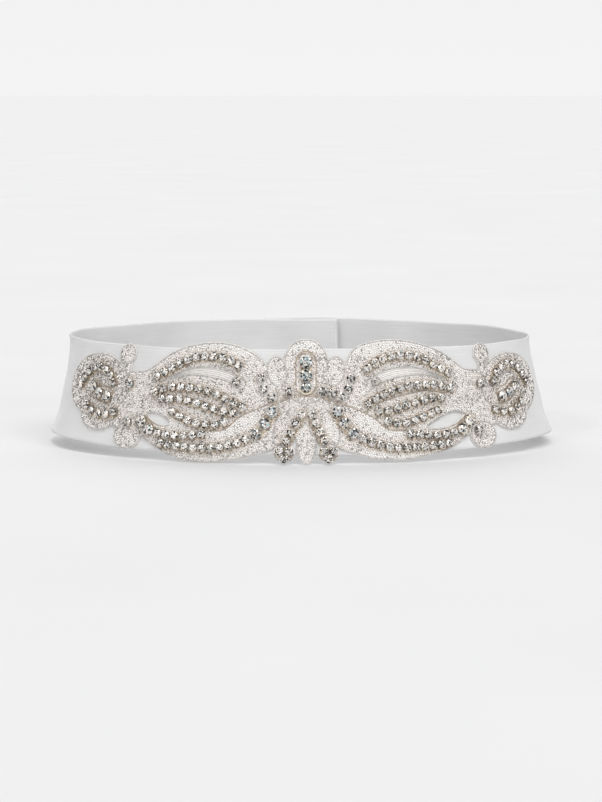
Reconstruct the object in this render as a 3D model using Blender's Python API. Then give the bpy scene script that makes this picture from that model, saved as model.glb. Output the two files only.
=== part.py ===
"""Bridal sash: a white ribbon worn round the waist, with beaded applique across its front.

Metres, +Z up. The front faces -Y. The origin is on the waist's axis, at the ribbon's mid height.
A place on the sash is given by how far it lies along the ribbon from the front centre (positive
to +X), its height above the ribbon's mid height, and how far it stands out from the inner face.
"""

import math

import bmesh
import bpy
import numpy as np
from mathutils import Vector
from mathutils.geometry import delaunay_2d_cdt

MM = 0.001

# Ribbon, in metres, measured on its inner face
WAIST_HALF_WIDTH = 0.1200
WAIST_HALF_DEPTH = 0.0900
SIDE_FLARE = 0.215
FRONT_FLARE = 0.110
RIBBON_HALF_HEIGHT = 0.0247
RIBBON_THICKNESS = 0.0012
RIBBON_BEVEL = 0.0003
RIBBON_STEP = 0.0048

# Lap at the back, in metres, where the outer end lies over the inner end
LAP = 0.040
LAP_RAMP = 0.030
LAP_ROOM = 0.0026
SEAM_GAP = 0.0003

# Hooks and bars between the two ends, in metres
HOOK_HEIGHTS = (0.012, -0.012)
HOOK_LENGTH = 0.0100
HOOK_HALF_HEIGHT = 0.0035
HOOK_SHEET = 0.0004
HOOK_TONGUE = 0.0050
BAR_THICKNESS = 0.0006
BAR_WIDTH = 0.0012
BAR_HALF_HEIGHT = 0.0055
BAR_FOOT = 0.0012

# Applique, in millimetres, with heights above its plain inside. A stone's skirt is where it leaves
# the beadwork, and its table is a share of its radius.
APPLIQUE_SHIFT = 2.4
BEADWORK_EDGE = 1.1
BEADWORK_CROWN = 1.7
STONE_HEIGHT = 3.1
STONE_SKIRT = 1.9
STONE_TABLE = 0.72
STONE_SIDES = 6
OUTLINE_STEP = 2.6
OUTLINE_MERGE = 0.8
SMALLEST_WINDOW = 14.0
FEWEST_OVAL_POINTS = 10
CURVE_SAMPLES = 12
FILL_STEP = 5.0
FILL_CLEARANCE = 2.0
SHOULDER = 1.5

# The leaves and their window, counterclockwise through these points (along, height); the left leaf
# and the window's second copy are written as if they were on the right half
RIGHT_LEAF = [
    (12.8, 3.0), (12.4, -10.0), (13.4, -20.4), (21.0, -24.0), (31.0, -27.0), (45.0, -27.7),
    (58.0, -26.0), (68.0, -23.2), (76.4, -18.6), (86.0, -14.6), (98.0, -11.2), (98.0, 11.0), (89.0, 12.9),
    (80.6, 13.6), (75.0, 17.6), (68.0, 22.4), (57.0, 26.6), (44.0, 28.8), (32.0, 28.0), (22.6, 24.2), (16.5, 12.5),
]
LEFT_LEAF = [
    (12.8, 3.0), (12.4, -10.0), (13.4, -20.4), (21.0, -24.2), (31.0, -27.0), (45.0, -28.8),
    (58.0, -28.0), (67.0, -24.6), (75.8, -19.8), (86.0, -16.0), (98.0, -12.0), (98.0, 11.0), (89.0, 12.2),
    (80.6, 12.9), (75.0, 16.2), (67.0, 21.8), (57.0, 25.8), (44.0, 27.6), (32.0, 25.8), (21.4, 20.2), (16.5, 12.5),
]
LEAF_WINDOW = [
    (57.0, -13.0), (64.0, -13.6), (70.0, -12.2), (74.4, -10.0), (76.2, -7.4), (70.4, -6.6), (62.8, -9.4),
]

# Ovals on the right half: name, along, height, half width, half height, tilt in degrees
SIDE_OVALS = [
    ("top bud", 92.2, 20.2, 5.0, 4.9, 0),
    ("top bud stem", 91.4, 12.8, 2.3, 6.2, 10),
    ("bottom bud", 86.4, -18.2, 7.6, 6.6, 0),
    ("rosette", 110.0, 4.3, 21.4, 15.3, 0),
    ("rosette lower lobe", 106.0, -9.6, 12.4, 7.6, 0),
    ("side lobe", 13.8, 14.4, 5.0, 7.3, -10),
    ("side petal", 11.0, -12.6, 4.2, 8.8, 12),
    ("fan stem", 5.6, -13.0, 2.7, 10.0, 24),
    ("fan cluster", 9.9, -23.6, 4.8, 4.8, 0),
]

# Ovals on the centre line, with the same columns
MIDDLE_OVALS = [
    ("arch", 0.0, 18.8, 10.6, 10.8, 0),
    ("arch foot", 0.0, 8.0, 10.2, 9.0, 0),
    ("hub", 0.0, 2.0, 19.0, 8.6, 0),
    ("fan web", 0.0, -7.0, 13.0, 9.0, 0),
    ("drop petal", 0.0, -19.4, 4.6, 9.6, 0),
]

# Rows of stones on the right half: name, diameter, how many, and the curve that they follow
SIDE_ROWS = [
    ("leaf top", 4.0, 11, [(29.4, 15.4), (36.0, 19.4), (45.0, 21.2), (56.0, 19.8), (70.5, 12.2)]),
    ("lens upper", 4.0, 11, [(29.0, -1.0), (36.0, 3.0), (45.0, 6.0), (58.0, 7.2), (70.5, 5.0)]),
    ("lens lower", 4.0, 8, [(33.6, -4.6), (40.0, -4.2), (49.5, -1.5), (59.0, 0.6), (64.9, 0.55)]),
    ("lens third", 4.0, 7, [(37.6, -9.4), (45.0, -10.6), (53.0, -8.6), (63.0, -4.8)]),
    ("leaf inner foot", 4.0, 6, [(48.0, -15.8), (56.0, -16.6), (64.0, -16.8), (69.4, -16.0)]),
    ("leaf end", 5.5, 2, [(74.2, -14.6), (78.6, -10.8)]),
    ("leaf foot", 4.0, 11, [(25.8, -17.4), (33.0, -20.3), (42.0, -21.9), (54.0, -21.9), (66.5, -20.8)]),
    ("leaf heel", 5.0, 3, [(14.2, -4.7), (17.4, -10.0), (21.2, -14.8)]),
    ("fan", 4.0, 4, [(2.6, -6.0), (5.1, -11.4), (8.1, -18.0)]),
    ("cluster", 4.0, 2, [(7.7, -22.9), (12.0, -22.9)]),
    ("cluster tip", 4.0, 1, [(9.8, -26.4)]),
    ("side chain", 4.0, 3, [(21.2, 11.2), (19.6, 6.0), (16.0, 2.4)]),
    ("arch shoulder", 4.0, 1, [(7.8, 5.0)]),
    ("leaf lone", 4.0, 1, [(33.0, 9.4)]),
    ("neck upper", 4.5, 1, [(88.2, 6.2)]),
    ("neck lower", 4.5, 1, [(83.3, -15.6)]),
    ("loose stone", 4.0, 1, [(12.3, 4.5)]),
    ("rosette ring", 4.0, 8, [(97.0, 6.8), (100.5, 11.5), (108.0, 14.1), (116.0, 11.8), (121.6, 4.4)]),
    ("rosette foot", 4.0, 5, [(95.0, -6.6), (101.0, -8.3), (107.6, -7.9), (114.2, -4.2)]),
    ("rosette heart", 5.0, 3, [(100.6, -0.8), (105.6, 0.2), (110.8, 3.2)]),
]

# Rows whose curve differs on the left half, written as if they were on the right half
LEFT_CURVES = {
    "leaf top": [(32.4, 16.8), (38.0, 19.8), (46.0, 20.9), (57.0, 19.2), (73.2, 10.6)],
    "lens upper": [(29.6, -2.6), (36.6, 0.8), (45.6, 4.2), (55.0, 6.0), (64.6, 5.9), (73.4, 3.3)],
    "lens lower": [(33.8, -5.2), (40.0, -4.5), (49.5, -1.7), (59.0, 0.4), (64.9, 0.4)],
    "lens third": [(37.6, -9.6), (45.0, -11.0), (54.0, -9.8), (63.2, -5.6)],
    "rosette ring": [(98.4, 6.0), (101.6, 10.4), (108.0, 12.9), (115.4, 10.9), (121.0, 3.6)],
    "rosette foot": [(95.0, -7.6), (101.0, -9.4), (107.6, -9.0), (113.8, -5.6)],
    "leaf heel": [(15.6, -4.7), (19.0, -10.1), (22.8, -14.8)],
    "leaf foot": [(27.6, -17.6), (34.2, -20.3), (43.0, -21.9), (55.0, -21.9), (67.6, -20.6)],
    "fan": [(2.5, -6.0), (5.7, -11.8), (9.3, -18.4)],
    "neck lower": [(86.4, -12.0)],
    "loose stone": [(69.5, 0.2)],
}

# Stones on the centre line, with the same columns
MIDDLE_ROWS = [
    ("arch column", 5.5, 2, [(0.0, 18.6), (0.0, 12.5)]),
    ("arch column foot", 4.5, 1, [(0.0, 6.8)]),
]

# Colours, as linear red, green, blue
RIBBON_COLOUR = (0.80, 0.80, 0.79)
BEADWORK_COLOUR = (0.66, 0.62, 0.57)
STONE_COLOUR = (0.78, 0.79, 0.80)
HOOK_COLOUR = (0.62, 0.62, 0.62)


def make_material(name, colour, roughness, metallic):
    """A Principled material of one colour."""
    material = bpy.data.materials.new(name)
    material.use_nodes = True
    shader = material.node_tree.nodes["Principled BSDF"]
    shader.inputs["Base Color"].default_value = (*colour, 1.0)
    shader.inputs["Roughness"].default_value = roughness
    shader.inputs["Metallic"].default_value = metallic
    material.diffuse_color = (*colour, 1.0)
    return material


def add_object(name, vertices, faces, materials, face_slots=None):
    """A mesh object with its faces turned outwards."""
    mesh = bpy.data.meshes.new(name)
    mesh.from_pydata([tuple(point) for point in vertices], [], faces)
    for material in materials:
        mesh.materials.append(material)
    if face_slots is not None:
        mesh.polygons.foreach_set("material_index", face_slots)
    body = bmesh.new()
    body.from_mesh(mesh)
    bmesh.ops.recalc_face_normals(body, faces=body.faces)
    body.to_mesh(mesh)
    body.free()
    thing = bpy.data.objects.new(name, mesh)
    bpy.context.collection.objects.link(thing)
    return thing


def measure_waist():
    """Turns round the waist, and the ribbon's length from the front centre to each of them."""
    turns = np.linspace(0.0, 1.25 * math.pi, 4001)
    speeds = np.hypot(WAIST_HALF_WIDTH * np.cos(turns), WAIST_HALF_DEPTH * np.sin(turns))
    steps = (speeds[1:] + speeds[:-1]) / 2 * np.diff(turns)
    return turns, np.concatenate([[0.0], np.cumsum(steps)])


WAIST_TURNS, WAIST_LENGTHS = measure_waist()
HALF_ROUND = float(np.interp(math.pi, WAIST_TURNS, WAIST_LENGTHS))


def waist_point(along, height, out):
    """The place of a point of the sash: along the ribbon, up from mid height, and outwards."""
    turn = math.copysign(float(np.interp(abs(along), WAIST_LENGTHS, WAIST_TURNS)), along)
    sine, cosine = math.sin(turn), math.cos(turn)
    half_width = WAIST_HALF_WIDTH - SIDE_FLARE * height
    half_depth = WAIST_HALF_DEPTH - FRONT_FLARE * height
    place = Vector((half_width * sine, -half_depth * cosine, height))
    forward = Vector((half_width * cosine, half_depth * sine, 0.0))
    upward = Vector((-SIDE_FLARE * sine, FRONT_FLARE * cosine, 1.0))
    return place + forward.cross(upward).normalized() * out


def lap_lift(along):
    """How far the outer end of the ribbon is lifted over the inner end."""
    ramp_end = HALF_ROUND - LAP / 2 - 2 * RIBBON_THICKNESS
    share = (along - ramp_end + LAP_RAMP) / LAP_RAMP
    share = min(max(share, 0.0), 1.0)
    return (RIBBON_THICKNESS + LAP_ROOM) * share * share * (3.0 - 2.0 * share)


def make_ribbon():
    """One strip swept round the waist, its ends lapped at the back."""
    end = HALF_ROUND + LAP / 2
    section = [
        (-RIBBON_HALF_HEIGHT, RIBBON_BEVEL),
        (-RIBBON_HALF_HEIGHT + RIBBON_BEVEL, 0.0),
        (RIBBON_HALF_HEIGHT - RIBBON_BEVEL, 0.0),
        (RIBBON_HALF_HEIGHT, RIBBON_BEVEL),
        (RIBBON_HALF_HEIGHT, RIBBON_THICKNESS - RIBBON_BEVEL),
        (RIBBON_HALF_HEIGHT - RIBBON_BEVEL, RIBBON_THICKNESS),
        (-RIBBON_HALF_HEIGHT + RIBBON_BEVEL, RIBBON_THICKNESS),
        (-RIBBON_HALF_HEIGHT, RIBBON_THICKNESS - RIBBON_BEVEL),
    ]
    stations = np.linspace(-end, end, round(2 * end / RIBBON_STEP) + 1)
    vertices = []
    for along in stations:
        lift = lap_lift(along)
        for height, out in section:
            vertices.append(waist_point(along, height, out + lift))
    size = len(section)
    faces = [tuple(range(size)), tuple(range(len(vertices) - size, len(vertices)))]
    for ring in range(len(stations) - 1):
        for corner in range(size):
            following = (corner + 1) % size
            faces.append((
                ring * size + corner,
                ring * size + following,
                (ring + 1) * size + following,
                (ring + 1) * size + corner,
            ))
    return add_object("ribbon", vertices, faces, [make_material("ribbon_satin", RIBBON_COLOUR, 0.55, 0.0)])


def back_prism(name, profile, low, high, material):
    """A piece with one profile (along from the back centre, out), drawn out in height."""
    vertices = []
    for height in (low, high):
        for along, out in profile:
            vertices.append(waist_point(HALF_ROUND + along, height, out))
    size = len(profile)
    faces = [tuple(range(size)), tuple(range(size, 2 * size))]
    for corner in range(size):
        following = (corner + 1) % size
        faces.append((corner, following, size + following, size + corner))
    return add_object(name, vertices, faces, [material])


def make_fasteners():
    """Two flat hooks under the outer end, each with its tongue behind a bar on the inner end."""
    steel = make_material("hook_steel", HOOK_COLOUR, 0.3, 1.0)
    floor = RIBBON_THICKNESS + SEAM_GAP
    roof = RIBBON_THICKNESS + LAP_ROOM - SEAM_GAP
    bar_low = floor + HOOK_SHEET + SEAM_GAP
    bar_high = bar_low + BAR_THICKNESS
    bend = BAR_WIDTH / 2 + 2 * SEAM_GAP
    hook = [
        (bend + HOOK_SHEET, floor),
        (bend - HOOK_TONGUE, floor),
        (bend - HOOK_TONGUE, floor + HOOK_SHEET),
        (bend, floor + HOOK_SHEET),
        (bend, roof - HOOK_SHEET),
        (bend - HOOK_LENGTH, roof - HOOK_SHEET),
        (bend - HOOK_LENGTH, roof),
        (bend + HOOK_SHEET, roof),
    ]
    for name, middle in zip(("upper", "lower"), HOOK_HEIGHTS):
        back_prism("hook_" + name, hook, middle - HOOK_HALF_HEIGHT, middle + HOOK_HALF_HEIGHT, steel)
        make_bar("bar_" + name, middle, floor, bar_low, bar_high, steel)


def make_bar(name, middle, floor, bar_low, bar_high, steel):
    """A flat bar on two feet, drawn as a staple across the ribbon."""
    profile = [
        (-BAR_HALF_HEIGHT, floor),
        (-BAR_HALF_HEIGHT + BAR_FOOT, floor),
        (-BAR_HALF_HEIGHT + BAR_FOOT, bar_low),
        (BAR_HALF_HEIGHT - BAR_FOOT, bar_low),
        (BAR_HALF_HEIGHT - BAR_FOOT, floor),
        (BAR_HALF_HEIGHT, floor),
        (BAR_HALF_HEIGHT, bar_high),
        (-BAR_HALF_HEIGHT, bar_high),
    ]
    vertices = []
    for side in (-BAR_WIDTH / 2, BAR_WIDTH / 2):
        for height, out in profile:
            vertices.append(waist_point(HALF_ROUND + side, middle + height, out))
    size = len(profile)
    faces = [tuple(range(size)), tuple(range(size, 2 * size))]
    for corner in range(size):
        following = (corner + 1) % size
        faces.append((corner, following, size + following, size + corner))
    return add_object(name, vertices, faces, [steel])


def oval_outline(along, height, half_width, half_height, tilt):
    """Points round an oval, about one outline step apart."""
    count = max(FEWEST_OVAL_POINTS, round(math.pi * (half_width + half_height) / OUTLINE_STEP))
    lean = math.radians(tilt)
    points = []
    for index in range(count):
        turn = 2 * math.pi * index / count
        x, y = half_width * math.cos(turn), half_height * math.sin(turn)
        points.append((
            along + x * math.cos(lean) - y * math.sin(lean),
            height + x * math.sin(lean) + y * math.cos(lean),
        ))
    return points


def smooth_points(points, closed):
    """A dense, rounded curve through the points given."""
    knots = np.array(points, dtype=float)
    if closed:
        knots = np.vstack([knots[-1], knots, knots[:2]])
    else:
        knots = np.vstack([2 * knots[0] - knots[1], knots, 2 * knots[-1] - knots[-2]])
    dense = []
    for index in range(1, len(knots) - 2):
        before, start, stop, after = knots[index - 1:index + 3]
        for share in np.linspace(0.0, 1.0, CURVE_SAMPLES, endpoint=False):
            dense.append(0.5 * (
                2 * start
                + (stop - before) * share
                + (2 * before - 5 * start + 4 * stop - after) * share ** 2
                + (3 * start - before - 3 * stop + after) * share ** 3
            ))
    dense.append(knots[-2])
    return np.array(dense)


def spaced_points(curve, count):
    """Points at equal distances along a curve, its two ends included."""
    lengths = np.concatenate([[0.0], np.cumsum(np.hypot(*np.diff(curve, axis=0).T))])
    places = np.linspace(0.0, lengths[-1], count)
    return np.column_stack([np.interp(places, lengths, curve[:, axis]) for axis in (0, 1)])


def loop_outline(points):
    """Points round a rounded closed curve through counterclockwise points, an outline step apart."""
    curve = smooth_points(points, closed=True)
    length = float(np.hypot(*np.diff(curve, axis=0).T).sum())
    return [tuple(point) for point in spaced_points(curve, round(length / OUTLINE_STEP) + 1)[:-1]]


def mirrored(points):
    """The same outline on the left half, still counterclockwise."""
    return [(-along, height) for along, height in reversed(points)]


def applique_shapes():
    """Outlines of the beaded net, which overlap, and of the windows cut in it."""
    shapes = [oval_outline(*row[1:]) for row in MIDDLE_OVALS]
    for outline in [oval_outline(*row[1:]) for row in SIDE_OVALS]:
        shapes += [outline, mirrored(outline)]
    shapes += [loop_outline(RIGHT_LEAF), mirrored(loop_outline(LEFT_LEAF))]
    window = loop_outline(LEAF_WINDOW)
    return shapes, [window, mirrored(window)]


def stone_places():
    """Every stone's place and diameter."""
    stones = []
    for _, diameter, count, curve in MIDDLE_ROWS:
        for along, height in spaced_points(np.array(curve), count) if count > 1 else curve:
            stones.append((along, height, diameter))
    for name, diameter, count, curve in SIDE_ROWS:
        for side, line in ((1, curve), (-1, LEFT_CURVES.get(name, curve))):
            places = spaced_points(smooth_points(line, closed=False), count) if count > 1 else line
            stones += [(along * side, height, diameter) for along, height in places]
    return stones


def joined_outlines(shapes, windows):
    """Closed loops round the union of the shapes, less the windows."""
    points, rings = [], []
    for outline in shapes + windows:
        rings.append(list(range(len(points), len(points) + len(outline))))
        points += [Vector(point) for point in outline]
    places, _, triangles, _, _, owners = delaunay_2d_cdt(points, [], rings, 1, 1e-4, True)
    edges = set()
    for triangle, inside in zip(triangles, owners):
        if inside and max(inside) < len(shapes):
            edges.update(zip(triangle, triangle[1:] + triangle[:1]))
    following = {start: stop for start, stop in edges if (stop, start) not in edges}
    loops = []
    while following:
        start, stop = following.popitem()
        loop = [places[start]]
        while stop != start:
            if (places[stop] - loop[-1]).length > OUTLINE_MERGE:
                loop.append(places[stop])
            stop = following.pop(stop)
        if (loop[-1] - loop[0]).length < OUTLINE_MERGE:
            loop.pop()
        if loop_area(loop) > SMALLEST_WINDOW:
            loops.append(loop)
    return loops


def loop_area(loop):
    """The area inside a closed loop, whichever way it runs."""
    x, y = np.array([tuple(point) for point in loop]).reshape(-1, 2).T
    return abs(float(x @ np.roll(y, -1) - y @ np.roll(x, -1))) / 2


def inside_loops(points, loops):
    """Which of the points lie inside the outline, counting the edges crossed on one side."""
    odd = np.zeros(len(points), dtype=bool)
    for loop in loops:
        corners = np.array(loop)
        for (x0, y0), (x1, y1) in zip(corners, np.roll(corners, -1, axis=0)):
            if y0 == y1:
                continue
            crosses = (points[:, 1] > min(y0, y1)) & (points[:, 1] <= max(y0, y1))
            odd ^= crosses & (points[:, 0] < x0 + (points[:, 1] - y0) * (x1 - x0) / (y1 - y0))
    return odd


def rim_distance(points, loops):
    """Each point's distance to the nearest edge of the outline."""
    nearest = np.full(len(points), np.inf)
    for loop in loops:
        corners = np.array(loop)
        for start, stop in zip(corners, np.roll(corners, -1, axis=0)):
            edge = stop - start
            share = np.clip((points - start) @ edge / (edge @ edge), 0.0, 1.0)
            gaps = np.hypot(*(points - start - share[:, None] * edge).T)
            nearest = np.minimum(nearest, gaps)
    return nearest


def fill_points(loops, stones):
    """A grid of points inside the outline, clear of its rim and of the stones given."""
    corners = np.vstack([np.array(loop) for loop in loops])
    low, high = corners.min(axis=0), corners.max(axis=0)
    grid = []
    for row, height in enumerate(np.arange(low[1], high[1], FILL_STEP * math.sqrt(0.75))):
        for along in np.arange(low[0] + FILL_STEP / 2 * (row % 2), high[0], FILL_STEP):
            grid.append((along, height))
    grid = np.array(grid)
    keep = inside_loops(grid, loops) & (rim_distance(grid, loops) > SHOULDER + FILL_CLEARANCE / 2)
    for along, height, diameter in stones:
        keep &= np.hypot(grid[:, 0] - along, grid[:, 1] - height) > diameter / 2 + FILL_CLEARANCE / 2
    return [tuple(point) for point in grid[keep]]


def shoulder_points(loops, stones):
    """Points just inside the outline, where the beadwork reaches its full height."""
    points = []
    for loop in loops:
        corners = np.array(loop)
        edges = np.roll(corners, -1, axis=0) - np.roll(corners, 1, axis=0)
        inward = np.column_stack([-edges[:, 1], edges[:, 0]]) / np.hypot(*edges.T)[:, None]
        points.append(corners + inward * SHOULDER)
    points = np.vstack(points)
    keep = inside_loops(points, loops) & (rim_distance(points, loops) > SHOULDER * 0.8)
    for along, height, diameter in stones:
        keep &= np.hypot(points[:, 0] - along, points[:, 1] - height) > diameter / 2 + SHOULDER / 4
    return [tuple(point) for point in points[keep]]


def sheet_triangles(loops, inner):
    """Triangles over the inside of the outline, through its rim points and the inner points."""
    points, edges = [], []
    for loop in loops:
        first = len(points)
        for index in range(len(loop)):
            edges.append((first + index, first + (index + 1) % len(loop)))
        points += list(loop)
    points += [Vector(point) for point in inner]
    _, _, triangles, sources, _, _ = delaunay_2d_cdt(points, edges, [], 0, 1e-7, True)
    triangles = [[sources[corner][0] for corner in triangle] for triangle in triangles]
    places = np.array([tuple(point) for point in points])
    middles = places[np.array(triangles)].mean(axis=1)
    inside = inside_loops(middles, loops)
    return [triangle for triangle, kept in zip(triangles, inside) if kept], edges


def stone_points(stones):
    """Two rings of points for each stone, its skirt and its table, with their heights."""
    points, heights = [], []
    for along, height, diameter in stones:
        for radius, rise in ((diameter / 2, STONE_SKIRT), (diameter / 2 * STONE_TABLE, STONE_HEIGHT)):
            for side in range(STONE_SIDES):
                turn = 2 * math.pi * side / STONE_SIDES
                points.append((along + radius * math.cos(turn), height + radius * math.sin(turn)))
                heights.append(rise)
    return points, heights


def make_applique():
    """One beaded net on the ribbon's front, a plain inside under a surface with raised stones."""
    loops = joined_outlines(*applique_shapes())
    stones = stone_places()
    rim = [tuple(point) for loop in loops for point in loop]
    under_fill = fill_points(loops, [])
    over_fill = shoulder_points(loops, stones) + fill_points(loops, stones)
    raised, rises = stone_points(stones)
    under, edges = sheet_triangles(loops, under_fill)
    over, _ = sheet_triangles(loops, over_fill + raised)

    seat = RIBBON_THICKNESS + SEAM_GAP
    layers = [
        (rim + under_fill, [0.0] * (len(rim) + len(under_fill))),
        (rim + over_fill + raised,
         [BEADWORK_EDGE] * len(rim) + [BEADWORK_CROWN] * len(over_fill) + rises),
    ]
    vertices = []
    for places, heights in layers:
        for (along, height), rise in zip(places, heights):
            vertices.append(waist_point((along + APPLIQUE_SHIFT) * MM, height * MM, seat + rise * MM))

    first_over = len(rim) + len(under_fill)
    first_stone = len(rim) + len(over_fill)
    faces = [tuple(triangle) for triangle in under]
    slots = [0] * len(faces)
    for start, stop in edges:
        faces.append((start, stop, first_over + stop, first_over + start))
        slots.append(0)
    for triangle in over:
        owners = {(corner - first_stone) // (2 * STONE_SIDES) for corner in triangle}
        faces.append(tuple(first_over + corner for corner in triangle))
        slots.append(int(min(triangle) >= first_stone and len(owners) == 1))
    beadwork = make_material("beadwork", BEADWORK_COLOUR, 0.35, 0.1)
    stone = make_material("rhinestone", STONE_COLOUR, 0.08, 0.8)
    return add_object("applique", vertices, faces, [beadwork, stone], slots)


def main():
    for item in list(bpy.data.objects):
        bpy.data.objects.remove(item, do_unlink=True)
    make_ribbon()
    make_fasteners()
    make_applique()


main()
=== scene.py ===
import math

import bmesh
import bpy
import numpy as np
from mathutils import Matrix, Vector
from mathutils.geometry import delaunay_2d_cdt


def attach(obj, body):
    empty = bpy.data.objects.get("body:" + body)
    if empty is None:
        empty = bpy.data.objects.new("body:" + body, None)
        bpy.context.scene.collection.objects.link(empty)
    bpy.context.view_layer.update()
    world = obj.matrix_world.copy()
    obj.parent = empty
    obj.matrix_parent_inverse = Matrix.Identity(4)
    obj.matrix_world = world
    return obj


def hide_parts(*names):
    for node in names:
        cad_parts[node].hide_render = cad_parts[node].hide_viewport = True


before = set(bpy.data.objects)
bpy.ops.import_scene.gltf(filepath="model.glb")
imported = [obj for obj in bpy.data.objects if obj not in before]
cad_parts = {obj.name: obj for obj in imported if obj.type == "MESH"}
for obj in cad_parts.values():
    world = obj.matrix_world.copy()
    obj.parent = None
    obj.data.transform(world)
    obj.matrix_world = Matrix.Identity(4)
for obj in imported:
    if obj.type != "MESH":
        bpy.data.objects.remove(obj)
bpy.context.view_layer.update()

MM = 0.001

# The waist and the ribbon, in metres, as in the CAD model
WAIST_HALF_WIDTH = 0.1200
WAIST_HALF_DEPTH = 0.0900
SIDE_FLARE = 0.215
FRONT_FLARE = 0.110
RIBBON_HALF_HEIGHT = 0.0247
RIBBON_THICKNESS = 0.0012
LAP = 0.040
LAP_RAMP = 0.030
LAP_ROOM = 0.0026

# The applique's shapes and stones, in millimetres, as in the CAD model
APPLIQUE_SHIFT = 2.4
NET_UNDERSIDE = 1.5
SMALLEST_WINDOW = 14.0
CURVE_SAMPLES = 12

# The leaves' outlines, each written as if it were on the right half: along, height
RIGHT_LEAF = [
    (12.8, 3.0), (12.4, -10.0), (13.4, -20.4), (21.0, -24.0), (31.0, -27.0), (45.0, -27.7), (58.0, -26.0),
    (68.0, -23.2), (76.4, -18.6), (86.0, -14.6), (98.0, -11.2), (98.0, 11.0), (89.0, 12.9), (80.6, 13.6),
    (75.0, 17.6), (68.0, 22.4), (57.0, 26.6), (44.0, 28.8), (32.0, 28.0), (22.6, 24.2), (16.5, 12.5),
]
LEFT_LEAF = [
    (12.8, 3.0), (12.4, -10.0), (13.4, -20.4), (21.0, -24.2), (31.0, -27.0), (45.0, -28.8), (58.0, -28.0),
    (67.0, -24.6), (75.8, -19.8), (86.0, -16.0), (98.0, -12.0), (98.0, 11.0), (89.0, 12.2), (80.6, 12.9),
    (75.0, 16.2), (67.0, 21.8), (57.0, 25.8), (44.0, 27.6), (32.0, 25.8), (21.4, 20.2), (16.5, 12.5),
]
LEAF_LAYER = 3

# The windows cut in the leaves; the left one is partly sewn over, so it is smaller than in the CAD model
LEAF_WINDOW = [
    (57.0, -13.0), (64.0, -13.6), (70.0, -12.2), (74.4, -10.0), (76.2, -7.4), (70.4, -6.6), (62.8, -9.4),
]
LEFT_WINDOW = [(64.6, -11.6), (68.4, -12.2), (72.6, -10.9), (76.2, -7.6), (72.2, -6.8), (67.4, -8.4)]

# Ovals on the right half: name, along, height, half width, half height, tilt, layer with 0 in front
SIDE_OVALS = [
    ("top bud", 92.2, 20.2, 5.0, 4.9, 0, 1),
    ("top bud stem", 91.4, 12.8, 2.3, 6.2, 10, 2),
    ("bottom bud", 86.4, -18.2, 7.6, 6.6, 0, 1),
    ("rosette", 110.0, 4.3, 21.4, 15.3, 0, 1),
    ("rosette lower lobe", 106.0, -9.6, 12.4, 7.6, 0, 2),
    ("side lobe", 13.8, 14.4, 5.0, 7.3, -10, 1),
    ("side petal", 11.0, -12.6, 4.2, 8.8, 12, 2),
    ("fan stem", 5.6, -13.0, 2.7, 10.0, 24, 1),
    ("fan cluster", 9.9, -23.6, 4.8, 4.8, 0, 1),
]
MIDDLE_OVALS = [
    ("arch", 0.0, 18.8, 10.6, 10.8, 0, 0),
    ("arch foot", 0.0, 8.0, 10.2, 9.0, 0, 0),
    ("hub", 0.0, 2.0, 19.0, 8.6, 0, 4),
    ("fan web", 0.0, -7.0, 13.0, 9.0, 0, 4),
    ("drop petal", 0.0, -19.4, 4.6, 9.6, 0, 1),
]

# Rows of stones on the right half: name, diameter, how many, and the curve that they follow
SIDE_ROWS = [
    ("leaf top", 4.0, 11, [(29.4, 15.4), (36.0, 19.4), (45.0, 21.2), (56.0, 19.8), (70.5, 12.2)]),
    ("lens upper", 4.0, 11, [(29.0, -1.0), (36.0, 3.0), (45.0, 6.0), (58.0, 7.2), (70.5, 5.0)]),
    ("lens lower", 4.0, 8, [(33.6, -4.6), (40.0, -4.2), (49.5, -1.5), (59.0, 0.6), (64.9, 0.55)]),
    ("lens third", 4.0, 7, [(37.6, -9.4), (45.0, -10.6), (53.0, -8.6), (63.0, -4.8)]),
    ("leaf inner foot", 4.0, 6, [(48.0, -15.8), (56.0, -16.6), (64.0, -16.8), (69.4, -16.0)]),
    ("leaf end", 5.5, 2, [(74.2, -14.6), (78.6, -10.8)]),
    ("leaf foot", 4.0, 11, [(25.8, -17.4), (33.0, -20.3), (42.0, -21.9), (54.0, -21.9), (66.5, -20.8)]),
    ("leaf heel", 5.0, 3, [(14.2, -4.7), (17.4, -10.0), (21.2, -14.8)]),
    ("fan", 4.0, 4, [(2.6, -6.0), (5.1, -11.4), (8.1, -18.0)]),
    ("cluster", 4.0, 2, [(7.7, -22.9), (12.0, -22.9)]),
    ("cluster tip", 4.0, 1, [(9.8, -26.4)]),
    ("side chain", 4.0, 3, [(21.2, 11.2), (19.6, 6.0), (16.0, 2.4)]),
    ("arch shoulder", 4.0, 1, [(7.8, 5.0)]),
    ("leaf lone", 4.0, 1, [(33.0, 9.4)]),
    ("neck upper", 4.5, 1, [(88.2, 6.2)]),
    ("neck lower", 4.5, 1, [(83.3, -15.6)]),
    ("loose stone", 4.0, 1, [(12.3, 4.5)]),
    ("rosette ring", 4.0, 8, [(97.0, 6.8), (100.5, 11.5), (108.0, 14.1), (116.0, 11.8), (121.6, 4.4)]),
    ("rosette foot", 4.0, 5, [(95.0, -6.6), (101.0, -8.3), (107.6, -7.9), (114.2, -4.2)]),
    ("rosette heart", 5.0, 3, [(100.6, -0.8), (105.6, 0.2), (110.8, 3.2)]),
]

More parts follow.
